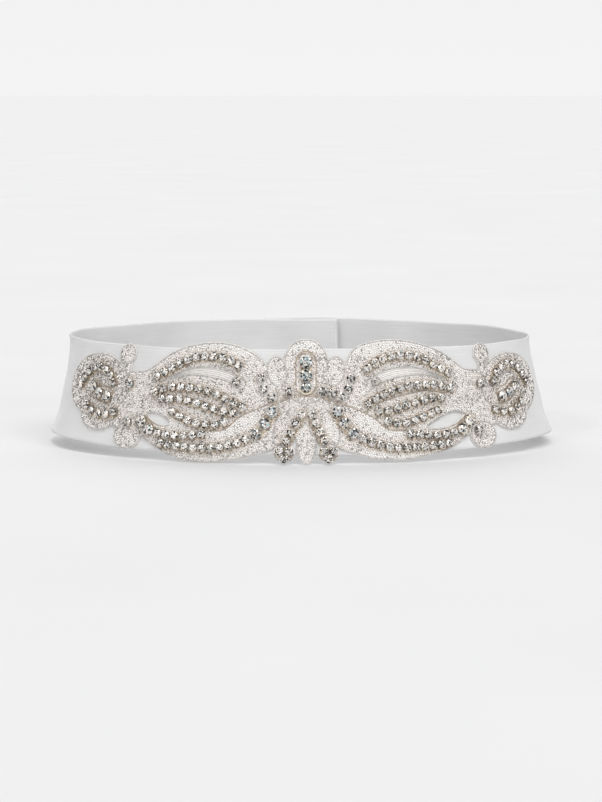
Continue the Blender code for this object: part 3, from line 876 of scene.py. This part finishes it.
# How the lines of beads run: their distances, how far beads stray and swing, and where the bugles start
RIM_INSET = 0.42
LINE_STEP, FEWEST_LINE_POINTS = 0.22, 3
CLEAR_SHARE = 0.96
CONTOUR_LINES = 11
ROW_GAP = 0.25
STRAY = 0.16
BEAD_SWING, BUGLE_SWING = 0.5, 0.1
BUGLES_FROM = 62.0

# Places where the ground is paler, greyer, more broken or sparser: along, height, half width, half height,
# tilt and side
PALE_OVALS = [
    (34.0, -11.8, 13.0, 3.6, -14, "both"), (18.2, 7.4, 5.0, 5.0, 0, "both"),
    (66.0, -9.6, 13.0, 5.0, 10, "both"), (43.0, 24.6, 24.0, 4.4, 0, "both"),
    (0.0, 26.4, 9.0, 4.0, 0, "right"), (11.0, -13.0, 3.6, 8.0, 12, "right"),
    (44.0, -25.6, 26.0, 2.8, 0, "right"),
]
GREY_OVALS = [
    (0.0, -1.0, 17.0, 9.0, 0, "right"), (84.0, -1.0, 17.0, 12.0, 0, "both"),
    (44.0, -25.0, 30.0, 3.6, 0, "left"), (106.0, 16.4, 14.0, 4.4, 0, "both"),
    (11.0, -13.0, 3.6, 8.0, 12, "left"),
]
BROKEN_OVALS = [(108.0, 4.3, 20.0, 14.0, 0, "both")]
SPARSE_OVALS = [(106.0, 1.2, 9.6, 4.8, 14, "right")]

# The share of dark beads in each place, and the share of beads that is laid where they are sparse
DARK_SHARE, RIM_DARK_SHARE, BROKEN_DARK_SHARE, PALE_DARK_SHARE = 0.12, 0.14, 0.19, 0.03
SPARSE_SHARE, SLOT_SHARE = 0.12, 0.10

# Colours of the beads, each with the least and the most that a bead has of it
MILKY = ((0.99, 0.955, 0.925), 0.88, 1.0)
SILVERY = ((0.82, 0.765, 0.72), 0.78, 1.1)
CHALKY = ((0.99, 0.98, 0.96), 0.95, 1.0)
SHADOWED = ((0.30, 0.26, 0.23), 0.5, 1.6)
OUTLINED = ((0.60, 0.57, 0.54), 0.7, 1.2)
BRONZED = ((0.50, 0.41, 0.32), 0.6, 1.3)
DARKENED = ((0.13, 0.11, 0.09), 0.2, 2.2)
# Painted shade: how much darker and warmer the beads beside the stones are painted, and how far from the
# stones
STONE_SHADE_TINT, STONE_SHADE_REACH = (0.12, 0.19, 0.27), 2.6
GREYED = 0.96

# The draw from which a bead is silvery, silvery in a grey place, chalky in a pale one, or in shadow
SILVERY_FROM, GREY_SILVERY_FROM, CHALKY_FROM, SHADOWED_FROM = 0.84, 0.55, 0.2, 0.7
SMALLEST_FILLER = 0.64

# How beads lie: how deep, how far up or down, how much higher the dark ones, and their three axes' sizes
SINK = 0.22
BEAD_LEVELS = (-0.04, 0.10)
DARK_RISE = 0.3
BEAD_AXES = (0.92, 1.02)

# Where along the applique the pieces that hold the beads begin and end
BEAD_PARTS = [-200.0, -92.0, -52.0, -18.0, 18.0, 52.0, 92.0, 200.0]


def offset_line(curve, distance, closed):
    """Points beside a curve, to its left, that are truly that far from it, with their directions."""
    if closed:
        curve = ring_of(curve)
    points = spaced_points(curve, max(FEWEST_LINE_POINTS, round(curve_length(curve) / LINE_STEP)))
    turns, beside = directions(points)
    moved = points + beside * distance
    if distance:
        gaps = np.hypot(moved[:, None, 0] - curve[None, :, 0], moved[:, None, 1] - curve[None, :, 1])
        keep = gaps.min(axis=1) > abs(distance) * CLEAR_SHARE
        moved, turns = moved[keep], turns[keep]
    return moved, turns


def row_curve(places, past=0.5):
    """A row of stones as a curve, run on past its end stones."""
    first, last = places[0] - places[1], places[-1] - places[-2]
    points = np.vstack([places[0] + first * past, places, places[-1] + last * past])
    return smooth_points(points, closed=False)


def both_sides(line):
    """A curve through the points, on the right half and on the left."""
    curve = smooth_points(line, closed=False)
    return [curve, curve * TO_LEFT]


def ovals_chart(rows):
    """A chart of the inside of the ovals, each on the right half, on the left or on both."""
    inside = []
    for *oval, side in rows:
        outline = oval_outline(*oval)
        if side != "left":
            inside.append(inside_chart([outline]))
        if side != "right":
            inside.append(inside_chart([mirrored(outline)]))
    return np.any(inside, axis=0)


def bare_strips():
    """The two strips of net that carry fine threads and no beads."""
    strip = np.vstack([smooth_points(STRIP_FOOT, closed=False), smooth_points(STRIP_TOP, closed=False)[::-1]])
    return [strip, mirrored(strip)]


class Beading:
    """The beads laid so far: along, height, direction, size, length and kind."""

    def __init__(self):
        self.chance = np.random.default_rng(11)
        self.taken = {}
        self.beads = []
        self.bare = inside_chart(bare_strips())
        self.dark_share = np.where(RIM_GAP < RIM_REACH, RIM_DARK_SHARE, DARK_SHARE)
        self.dark_share[ovals_chart(BROKEN_OVALS)] = BROKEN_DARK_SHARE
        self.dark_share[ovals_chart(PALE_OVALS)] = PALE_DARK_SHARE
        self.share = np.where(ovals_chart(SPARSE_OVALS), SPARSE_SHARE, 1.0)
        self.share[inside_chart([loop_outline(ARCH_SLOT)])] = SLOT_SHARE

    def has_room(self, x, y, radius):
        """Whether a round place overlaps none of those taken, which are kept in a grid."""
        column, row = int(x // GRID_CELL), int(y // GRID_CELL)
        for near in ((column + i, row + j) for i in (-1, 0, 1) for j in (-1, 0, 1)):
            for other_x, other_y, other in self.taken.get(near, ()):
                if (x - other_x) ** 2 + (y - other_y) ** 2 < (radius + other) ** 2:
                    return False
        return True

    def lay(self, line, size, kind, rim_gap, stone_gap=STONE_ROOM, length=0.0):
        """Lays beads one after another at a line's points and directions, wherever there is room."""
        points, turns = line
        ground = kind in (GROUND, FILLER, TUBE)
        if ground:
            points = points + self.chance.normal(0.0, STRAY, points.shape)
            turns = turns + self.chance.normal(0.0, BUGLE_SWING if kind == TUBE else BEAD_SWING, len(turns))
        keep = read_chart(INSIDE, points) & (read_chart(RIM_GAP, points) > rim_gap)
        keep &= read_chart(STONE_GAP, points) > size / 2 + stone_gap
        if ground:
            keep &= ~read_chart(self.bare, points)
            keep &= self.chance.random(len(points)) < read_chart(self.share, points)
        points, turns = points[keep], turns[keep]
        sizes = np.full(len(points), size)
        if ground:
            sizes = sizes * self.chance.uniform(*BEAD_SIZES, len(points))
        kinds = np.full(len(points), kind)
        if kind in (GROUND, FILLER):
            kinds[self.chance.random(len(points)) < read_chart(self.dark_share, points)] = DARK
            sizes[kinds == DARK] = FILL_BEAD * SPECK
        reach = max(length - size, 0.0) / 2
        for (x, y), turn, made, own_kind in zip(points, turns, sizes, kinds):
            ends = [(x, y)]
            if reach:
                along, up = math.cos(turn) * reach, math.sin(turn) * reach
                ends += [(x - along, y - up), (x + along, y + up)]
            if all(self.has_room(*end, made * FIT) for end in ends):
                for x_end, y_end in ends:
                    cell = int(x_end // GRID_CELL), int(y_end // GRID_CELL)
                    self.taken.setdefault(cell, []).append((x_end, y_end, made * FIT))
                self.beads.append((x, y, turn, made, max(length, made), own_kind))

    def lay_outlines(self):
        """The rim, then each outline that nothing in front hides, then the lines inside the shapes."""
        for loop in LOOPS:
            for inset in (RIM_INSET, -RIM_INSET):
                self.lay(offset_line(loop, inset, closed=True), RIM_BEAD, OUTLINE, OUTLINE_ROOM)
        for own, (outline, layer) in enumerate(SHAPES):
            points, turns = offset_line(outline, RIM_INSET, closed=True)
            keep = np.ones(len(points), dtype=bool)
            for other, (_, other_layer) in enumerate(SHAPES):
                if other != own and other_layer <= layer:
                    keep &= ~read_chart(EACH_INSIDE[other], points)
            self.lay((points[keep], turns[keep]), RIM_BEAD, OUTLINE, OUTLINE_ROOM)
        for lines, kind in ((SILVER_LINES, OUTLINE), (BRONZE_LINES, BRONZE)):
            for curve in [each for line in lines for each in both_sides(line)]:
                line = offset_line(curve, 0.0, closed=False)
                self.lay(line, BRONZE_BEAD, kind, LINE_ROOM, LINE_STONE_ROOM)
        self.lay(offset_line(loop_outline(ARCH_SLOT), 0.0, closed=True), BRONZE_BEAD, BRONZE, LINE_ROOM, 0.0)

    def lay_ground(self):
        """Uneven lines of beads beside the outlines and the stone rows, from the nearest outwards."""
        rows = [(diameter, row_curve(places)) for _, diameter, places in ROWS if len(places) > 1]
        for step in range(CONTOUR_LINES):
            beside = FILL_BEAD * (step + 0.5)
            for outline, layer in SHAPES:
                points, turns = offset_line(outline, RIM_INSET + RIM_BEAD / 2 + beside, closed=True)
                if not len(points):
                    continue
                own = read_chart(FRONT_LAYER, points) == layer
                points, turns = points[own], turns[own]
                neck = np.abs(points[:, 0]) > BUGLES_FROM
                if layer == LEAF_LAYER and step % 2 and neck.any():
                    self.lay((points[neck], turns[neck]), BUGLE_WIDTH, TUBE, LINE_ROOM, length=BUGLE)
                self.lay((points, turns), FILL_BEAD, GROUND, FILL_BEAD / 2)
            for diameter, curve in rows:
                for side in (1, -1):
                    line = offset_line(curve, side * (diameter / 2 + ROW_GAP + beside), closed=False)
                    self.lay(line, FILL_BEAD, GROUND, FILL_BEAD / 2)

    def lay_fillers(self):
        """Beads of smaller sizes in the gaps that are left."""
        x, y = np.meshgrid(CHART_X[::FILLER_GRID], CHART_Y[::FILLER_GRID])
        for share in FILLER_SIZES:
            size = FILL_BEAD * share
            points = self.chance.permutation(np.column_stack([x.ravel(), y.ravel()]))
            turns = self.chance.uniform(0.0, math.pi, len(points))
            self.lay((points, turns), size, FILLER, size * FILLER_ROOM)


def barrel(sides, rings, painted_cap_shade):
    """A small turned shape round the x axis, with a tone for each face; its two end faces take a painted
    shade.
    """
    points = [(x, *point) for x, radius in rings for point in circle(sides, radius)]
    faces = [face[::-1] for face in tube_faces(0, sides, len(rings))]
    tones = np.ones(len(faces))
    tones[-2:] = painted_cap_shade
    return np.array(points), faces, tones


# A bead and a stitch: the places of their rings along their axis, and the rings' radii; the bead's end faces
# are painted dark as the shade inside its hole
BEAD = barrel(6, [(-0.46, 0.24), (-0.24, 0.47), (0.24, 0.47), (0.46, 0.24)], 0.2)
STITCH = barrel(6, [(-0.5, 0.1), (-0.42, 0.4), (-0.15, 0.5), (0.15, 0.5), (0.42, 0.4), (0.5, 0.1)], 1.0)


def scatter(name, shape, places, turns, out, sizes, tones, material, smooth=True):
    """Copies of one small shape on the applique, joined into one piece.

    Places are in the applique's millimetres, out is each copy's height over the waist, sizes scale
    its three axes, and tones give each copy one colour, or one for each of its faces.
    """
    points, faces, face_tones = shape
    centre, forward, upward, outward = waist_frames((places[:, 0] + APPLIQUE_SHIFT) * MM, places[:, 1] * MM)
    centre = centre + outward * (out * MM)[:, None]
    cosine, sine = np.cos(turns)[:, None], np.sin(turns)[:, None]
    axes = np.stack([forward * cosine + upward * sine, upward * cosine - forward * sine, outward], axis=1)
    made = centre[:, None] + (points[None] * sizes[:, None] * MM) @ axes
    starts = range(0, len(places) * len(points), len(points))
    copies = [tuple(first + corner for corner in face) for first in starts for face in faces]
    piece = add_mesh(name, made.reshape(-1, 3), copies, material, smooth)
    if tones is not None:
        if tones.ndim == 2:
            tones = tones[:, None] * face_tones[None, :, None]
        sides = np.tile([len(face) for face in faces], len(places))
        set_tones(piece, np.repeat(tones.reshape(-1, 3), sides, axis=0))


def bead_tones(places, kinds, sizes, chance):
    """A colour for each bead: mostly milky white, some silver and a few dark, with painted warm shade beside
    the stones.
    """
    draw = chance.random(len(kinds))
    tone = np.zeros((len(kinds), 3))
    pale = read_chart(ovals_chart(PALE_OVALS), places)
    grey = read_chart(ovals_chart(GREY_OVALS), places)

    def paint(chosen, colour, low, high):
        tone[chosen] = np.array(colour) * chance.uniform(low, high, chosen.sum())[:, None]

    paint(np.ones(len(kinds), dtype=bool), *MILKY)
    paint(draw > np.where(grey, GREY_SILVERY_FROM, SILVERY_FROM), *SILVERY)
    paint(pale & (draw > CHALKY_FROM), *CHALKY)
    smallest = (kinds == FILLER) & (sizes < FILL_BEAD * SMALLEST_FILLER)
    paint(smallest & (draw > SHADOWED_FROM), *SHADOWED)
    paint(kinds == OUTLINE, *OUTLINED)
    tone[grey] *= GREYED
    # Painted shade: beads near the stones are painted darker and warmer, standing in for the stones' shadow
    # on them
    near = np.clip(1.0 - read_chart(STONE_GAP, places) / STONE_SHADE_REACH, 0.0, 1.0)
    tone *= 1.0 - near[:, None] * STONE_SHADE_TINT
    paint(kinds == BRONZE, *BRONZED)
    paint(kinds == DARK, *DARKENED)
    return tone


def make_beads(material):
    """Every seed bead, in a piece for each part of the applique."""
    beading = Beading()
    beading.lay_outlines()
    beading.lay_ground()
    beading.lay_fillers()
    beads = np.array(beading.beads)
    chance = np.random.default_rng(23)
    places = beads[:, :2]
    turns, size, length, kind = beads[:, 2:].T
    tones = bead_tones(places, kind, size, chance)
    out = NET_TOP + size * SINK + chance.uniform(*BEAD_LEVELS, len(beads)) + DARK_RISE * (kind == DARK)
    sizes = np.column_stack([length, size, size]) * chance.uniform(*BEAD_AXES, (len(beads), 3))
    for part, (first, last) in enumerate(zip(BEAD_PARTS, BEAD_PARTS[1:])):
        keep = (places[:, 0] >= first) & (places[:, 0] < last)
        scatter(
            f"seed_beads_{part + 1}", BEAD, places[keep], turns[keep], out[keep], sizes[keep], tones[keep],
            material,
        )


# Threads, braids and stitches

# The strips' threads, the cord round the column's foot, and the braids, in millimetres and degrees
STRIP_THREADS, STRIP_SAMPLES = 4, 60
THREAD_RADIUS, THREAD_RISE = 0.16, 0.1
CORD_RING, CORD_SAMPLES = 2.9, 24
CORD_FIRST, CORD_LAST = 200.0, 340.0
CORD_RADIUS, CORD_RISE = 0.5, 1.1
BRAID_MARGIN, BRAID_TOP_SHARE, BRAID_RISE = 0.25, 0.92, 0.5
BRAID_PAST, BRAID_SAMPLES = 0.3, 4
# The braids are moved outward and down so that their dark edge shows below the rows as painted shade
BRAID_DRIFT, BRAID_DROP = 0.4, 0.55

# Stitches: length, width and height, how much their sizes and turns differ, and where they are
SEAM_STITCH, SEAM_SIZES, SEAM_SWING = (1.7, 0.34, 0.3), (0.9, 1.1), 0.08
SEAM_INSET, SEAM_STRAY, SEAM_DEPTH = 3.2, 0.1, 0.06
SEAM_HEIGHTS = np.arange(-22.6, 22.7, 2.9)
TACK, TACK_SIZES, TACK_SWING = (1.5, 0.26, 0.5), (0.85, 1.15), 0.25
TACK_STEP, TACK_MARGIN, TACK_DEPTH = 6.0, 1.5, 0.05


def sweep(name, runs, material, smooth=True):
    """Cords or bands laid along curves of the applique, joined into one piece.

    Each run is a curve and a section. The section lists places to the left of the curve and heights
    over the waist, in millimetres.
    """
    points, faces = [], []
    for curve, section in runs:
        section = np.array(section)
        _, beside = directions(curve)
        rings = curve[:, None] + beside[:, None] * section[None, :, :1]
        faces += tube_faces(len(points), len(section), len(curve))
        points += applique_points(rings.reshape(-1, 2), np.tile(section[:, 1], len(curve))).tolist()
    piece = add_mesh(name, points, faces, material, smooth)


def round_section(radius, height, sides=6):
    """A round cord's section, whose middle is at the height given."""
    return circle(sides, radius) + (0.0, height)


def make_threads(silver, gold):
    """Fine silver threads on the bare strips, and a gilt cord round the foot of the column."""
    top, foot = (smooth_points(line, closed=False) for line in (STRIP_TOP, STRIP_FOOT))
    top, foot = spaced_points(top, STRIP_SAMPLES), spaced_points(foot, STRIP_SAMPLES)
    shares = np.arange(1, STRIP_THREADS + 1) / (STRIP_THREADS + 1)
    lines = [top * (1.0 - share) + foot * share for share in shares]
    lines += [line * TO_LEFT for line in lines]
    fine = round_section(THREAD_RADIUS, NET_TOP + THREAD_RISE)
    sweep("strip_threads", [(line, fine) for line in lines], silver)
    turns = np.radians(np.linspace(CORD_FIRST, CORD_LAST, CORD_SAMPLES))
    arc = COLUMN_FOOT + CORD_RING * np.column_stack([np.cos(turns), np.sin(turns)])
    sweep("column_cord", [(arc, round_section(CORD_RADIUS, NET_TOP + CORD_RISE))], gold)


def make_braids(material):
    """A flat bronze braid under each row of stones, moved toward the row's foot, where its dark edge also
    stands in for the rows' shade.
    """
    runs = []
    for name, diameter, places in ROWS:
        if len(places) > 1 and name != "side chain":
            foot = diameter / 2 + BRAID_MARGIN
            top = foot * BRAID_TOP_SHARE
            low, high = NET_TOP, NET_TOP + BRAID_RISE
            section = [(foot, low), (top, high), (-top, high), (-foot, low)]
            curve = row_curve(places, BRAID_PAST) - (np.sign(places[0][0]) * BRAID_DRIFT, BRAID_DROP)
            runs.append((spaced_points(curve, BRAID_SAMPLES * len(places)), section))
    sweep("stone_braids", runs, material, smooth=False)


def make_seam_stitches(material):
    """Rows of hand stitches that hold the ribbon's two turned ends."""
    end = (HALF_ROUND + LAP / 2) / MM - SEAM_INSET
    chance = np.random.default_rng(5)
    places, out = [], []
    for along, level in ((end, RIBBON_THICKNESS / MM + SEAM_DEPTH), (-end, RIBBON_INNER / MM - SEAM_DEPTH)):
        for height in SEAM_HEIGHTS:
            places.append((along - APPLIQUE_SHIFT + chance.normal(0.0, SEAM_STRAY), height))
            out.append(level + lap_lift(along * MM) / MM)
    count = len(places)
    sizes = np.array(SEAM_STITCH) * chance.uniform(*SEAM_SIZES, (count, 1))
    turns = math.pi / 2 + chance.normal(0.0, SEAM_SWING, count)
    scatter("seam_stitches", STITCH, np.array(places), turns, np.array(out), sizes, None, material)


def make_tacks(material):
    """Short stitches over the applique's cut edge that hold it to the ribbon."""
    chance = np.random.default_rng(6)
    places, turns = [], []
    for loop in LOOPS:
        closed = ring_of(loop)
        points = spaced_points(closed, round(curve_length(closed) / TACK_STEP))[:-1]
        places.append(points)
        turns.append(directions(points)[0] + math.pi / 2)
    places, turns = np.vstack(places), np.concatenate(turns)
    keep = np.abs(places[:, 1]) < RIBBON_HALF_HEIGHT / MM - TACK_MARGIN
    places, turns = places[keep], turns[keep]
    count = len(places)
    sizes = np.array(TACK) * chance.uniform(*TACK_SIZES, (count, 1))
    turns = turns + chance.normal(0.0, TACK_SWING, count)
    out = np.full(count, NET_UNDERSIDE - TACK_DEPTH)
    scatter("tacking", STITCH, places, turns, out, sizes, None, material)


# Stones and their cups

# The stones' heights over the waist for a 4 mm stone, and their spread over the cups
GIRDLE, TABLE = 3.72, 4.55
STONE_SPREAD = 1.06
USUAL_RADIUS = 2.0
RADIUS_LIFT, LIFT_SPREAD = 0.3, 0.08

# Rings of the cut stone, from the middle of its table out: corners, radius, height and shift in corners
STONE_SIDES = 8
STONE_RINGS = [
    (STONE_SIDES, 0.27, 1.0, 0.5), (STONE_SIDES, 0.56, 1.0, 0.0), (STONE_SIDES, 0.80, 0.52, 0.5),
    (2 * STONE_SIDES, 1.0, 0.0, 0.0), (2 * STONE_SIDES, 0.97, -0.35, 0.0),
]
CROWN_FACETS, TABLE_FACETS = 7, 3

# Rows of stones that differ in tone
COOL_ROWS = ("arch column", "arch column foot")
PALE_BLUE_ROWS = ("leaf heel",)
SMOKY_ROWS = (
    "side chain", "arch shoulder", "leaf lone", "neck upper", "neck lower", "cluster", "cluster tip",
)
ROSETTE_ROWS = ("rosette ring", "rosette foot")
HEART_ROWS = ("rosette heart",)

# Painted reflections: the share of facets painted dark, what rows add to it, and the draw from which a facet
# is painted bright
TABLE_DARK, CROWN_DARK = 0.36, 0.38
SMOKY_DARK, ROSETTE_DARK, LEFT_HEART_DARK = 0.12, 0.15, -0.16
BRIGHT_FROM = 0.52
FACET_VALUES = ((0.01, 0.14), (0.3, 0.7), (0.94, 1.0))
SMOKY_VALUE = 0.84
STONE_COLOUR, STONE_VALUES = (1.0, 0.97, 0.935), (0.8, 1.0)

# Tints of the facets, each with the draw below or above which it shows
WARM_TINT, WARM_BELOW = (1.0, 0.90, 0.78), 0.2
SEA_TINT, SEA_ABOVE = (0.60, 0.84, 0.90), 0.985
COOL_TINT, COOL_ABOVE = (0.66, 0.80, 0.83), 0.3
PALE_BLUE_TINT, PALE_BLUE_ABOVE = (0.74, 0.81, 0.87), 0.35

# Rings of the cup: radius and height. Rings of a claw: inner and outer reach, their heights, half width
CUP_SIDES, CLAWS = 16, 4
CUP_RINGS = [(1.0, 0.0), (1.06, 1.0), (0.99, 1.0), (0.93, 0.35)]
CLAW_RINGS = [
    (0.98, 1.10, 0.55, 0.55, 0.19), (0.95, 1.09, 1.12, 1.16, 0.18),
    (0.88, 0.96, 1.20, 1.34, 0.16), (0.72, 0.75, 1.30, 1.42, 0.10),
]
# Painted shade: the tone of the cup's body, darker than its claws, for the shade between the stones
PAINTED_CUP_SHADE = 0.52


def cut_stone():
    """A round stone seen from above: a broken-up table, then star, main and rim facets."""
    points, starts = [(0.0, 0.0, 1.0)], []
    for count, radius, height, shift in STONE_RINGS:
        starts.append(len(points))
        points += [(*point, height) for point in circle(count, radius, shift)]
    inner, table, middle, girdle, under = starts
    sides, around = STONE_SIDES, 2 * STONE_SIDES
    faces = []
    for side in range(sides):
        following, before = (side + 1) % sides, (side - 1) % sides
        corner = girdle + 2 * side
        faces += [
            (0, inner + side, inner + following),
            (inner + side, table + side, table + following),
            (inner + side, table + following, inner + following),
            (table + side, middle + side, table + following),
            (table + side, middle + before, corner, middle + side),
            (middle + side, corner, corner + 1),
            (middle + side, corner + 1, girdle + (2 * side + 2) % around),
        ]
    for side in range(around):
        following = (side + 1) % around
        faces.append((girdle + side, under + side, under + following, girdle + following))
    faces.append(tuple(range(under, under + around))[::-1])
    return np.array(points), faces, np.ones(len(faces))


def painted_facet_glints(count, facets, chance):
    """A colour for each facet of each stone: bright tables, broken rims and a few tints, as painted glints
    and painted dark reflections.
    """
    number = np.arange(facets)
    table = (number % CROWN_FACETS < TABLE_FACETS) & (number < STONE_SIDES * CROWN_FACETS)
    names = [name for name, _, places in ROWS for _ in places]

    def stones_of(rows):
        return np.isin(names, rows)[:, None]

    smoky = stones_of(SMOKY_ROWS)
    left = STONES[:, :1] <= 0
    dark_share = np.where(table, TABLE_DARK, CROWN_DARK) + SMOKY_DARK * smoky
    dark_share += ROSETTE_DARK * stones_of(ROSETTE_ROWS) + LEFT_HEART_DARK * (stones_of(HEART_ROWS) & left)
    draw = chance.random((count, facets))
    dark, middle, bright = (chance.uniform(low, high, draw.shape) for low, high in FACET_VALUES)
    # Painted reflections: dark facets stand in for dark reflections, bright ones for glints
    value = np.where(draw < dark_share, dark, middle)
    value = np.where(draw > BRIGHT_FROM, bright, value)
    value = np.where(smoky, SMOKY_VALUE, 1.0) * value
    tone = value[..., None] * STONE_COLOUR * chance.uniform(*STONE_VALUES, (count, 1, 1))
    tint = chance.random((count, facets))
    tone[tint < WARM_BELOW] *= WARM_TINT
    tone[tint > SEA_ABOVE] *= SEA_TINT
    tone[stones_of(COOL_ROWS) & (tint > COOL_ABOVE)] *= COOL_TINT
    tone[stones_of(PALE_BLUE_ROWS) & (tint > PALE_BLUE_ABOVE)] *= PALE_BLUE_TINT
    return tone


def cup():
    """A thin round cup with four claws that bend in over the stone."""
    points = [(*point, height) for radius, height in CUP_RINGS for point in circle(CUP_SIDES, radius)]
    faces = tube_faces(0, CUP_SIDES, len(CUP_RINGS))
    hollow = len(faces)
    for cosine, sine in circle(CLAWS, shift=0.5):
        faces += tube_faces(len(points), 4, len(CLAW_RINGS))
        for inner, outer, low, high, half in CLAW_RINGS:
            corners = ((inner, low, -half), (outer, high, -half), (outer, high, half), (inner, low, half))
            for reach, level, aside in corners:
                points.append((reach * cosine - aside * sine, reach * sine + aside * cosine, level))
    # The cup's body takes the painted shade and the claws keep their full tone
    return np.array(points), faces, np.where(np.arange(len(faces)) < hollow, PAINTED_CUP_SHADE, 1.0)


def make_stones(glass, metal):
    """The stones and their cups."""
    chance = np.random.default_rng(37)
    places, radii, count = STONES[:, :2], STONES[:, 2] / 2, len(STONES)
    turns = np.concatenate([directions(row)[0] if len(row) > 1 else [0.0] for _, _, row in ROWS])
    lift = (radii - USUAL_RADIUS) * RADIUS_LIFT + chance.uniform(-LIFT_SPREAD, LIFT_SPREAD, count)
    shape = cut_stone()
    wide = radii * STONE_SPREAD
    scatter(
        "rhinestones", shape, places, chance.uniform(0.0, math.pi, count), GIRDLE + lift,
        np.column_stack([wide, wide, (TABLE - GIRDLE) * radii / USUAL_RADIUS]),
        painted_facet_glints(count, len(shape[1]), chance), glass, smooth=False,
    )
    scatter(
        "stone_cups", cup(), places, turns, np.full(count, NET_TOP),
        np.column_stack([radii, radii, GIRDLE - NET_TOP + lift]), np.ones((count, 3)), metal,
        smooth=False,
    )


# The scene round the sash

FLOOR_HEIGHT, FLOOR_REACH = -0.0290, 40.0

# Lights: name, azimuth, elevation, spread in degrees and strength
SUNS = [
    ("key", 24.0, 44.0, 34.0, 1.12),
    ("fill", -26.0, 24.0, 60.0, 0.42),
    ("back", 190.0, 40.0, 60.0, 0.9),
    ("glint_left", -28.0, 30.0, 2.5, 0.25),
    ("glint_right", 40.0, 18.0, 2.5, 0.25),
    ("glint_high", 5.0, 62.0, 2.5, 0.3),
]

# The surroundings: a height from 0 at the horizon to 1 overhead, and the brightness there
SKY = [(0.0, 0.90), (0.09, 0.87), (0.24, 0.5), (0.60, 0.42), (0.85, 0.75)]


def make_floor():
    """A plain pale floor that runs far past the view on every side."""
    mesh = bpy.data.meshes.new("floor")
    size = FLOOR_REACH
    corners = [(-size, -size), (size, -size), (size, size), (-size, size)]
    mesh.from_pydata([(x, y, FLOOR_HEIGHT) for x, y in corners], [], [(0, 1, 2, 3)])
    mesh.materials.append(grained_material(
        "floor", (6.0, 2.0), (0.70, 0.70, 0.705), (0.72, 0.72, 0.725), Roughness=1.0, Specular_IOR_Level=0.0,
    ))
    floor = new_object("floor", mesh)


def make_sun(name, azimuth, elevation, spread, strength):
    """Soft light from far away; azimuth 0 comes from the camera's side and 90 from the right."""
    data = bpy.data.lights.new(name, "SUN")
    data.angle = math.radians(spread)
    data.energy = strength
    turn, rise = math.radians(azimuth), math.radians(elevation)
    toward = Vector((math.sin(turn) * math.cos(rise), -math.cos(turn) * math.cos(rise), math.sin(rise)))
    new_object(name, data).rotation_euler = toward.to_track_quat("Z", "Y").to_euler()


def make_world():
    """Pale surroundings near the horizon, dimmer above it, and bright overhead."""
    world = bpy.data.worlds.new("studio")
    bpy.context.scene.world = world
    world.use_nodes = True
    tree = world.node_tree
    place = tree.nodes.new("ShaderNodeTexCoord")
    split = tree.nodes.new("ShaderNodeSeparateXYZ")
    ramp = tree.nodes.new("ShaderNodeValToRGB")
    tree.links.new(place.outputs["Generated"], split.inputs["Vector"])
    tree.links.new(split.outputs["Z"], ramp.inputs["Fac"])
    tree.links.new(ramp.outputs["Color"], tree.nodes["Background"].inputs["Color"])
    elements = ramp.color_ramp.elements
    while len(elements) < len(SKY):
        elements.new(0.5)
    for element, (position, level) in zip(elements, SKY):
        element.position = position
        element.color = (level, level, level, 1.0)


def make_stage():
    """The surroundings, the floor and the lights."""
    make_world()
    make_floor()
    for sun in SUNS:
        make_sun(*sun)
    bpy.context.scene.view_settings.view_transform = "Standard"


def main():
    """The stage, every piece of the sash, and the metal of the CAD parts."""
    make_stage()
    make_ribbon(ribbon_material())
    make_net(net_material())
    make_beads(bead_material())
    thread = thread_material()
    silver = cord_material("silver_thread", (0.42, 0.41, 0.40), (0.66, 0.65, 0.64))
    make_threads(silver, cord_material("gilt_cord", (0.66, 0.57, 0.44), (0.88, 0.80, 0.66)))
    make_braids(cord_material("bronze_braid", (0.20, 0.145, 0.095), (0.76, 0.67, 0.56)))
    make_tacks(thread)
    make_seam_stitches(thread)
    make_stones(stone_material(), cup_material())
    metal = hook_material()
    for name in ("hook_upper", "hook_lower", "bar_upper", "bar_lower"):
        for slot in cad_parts[name].material_slots:
            slot.material = metal


main()
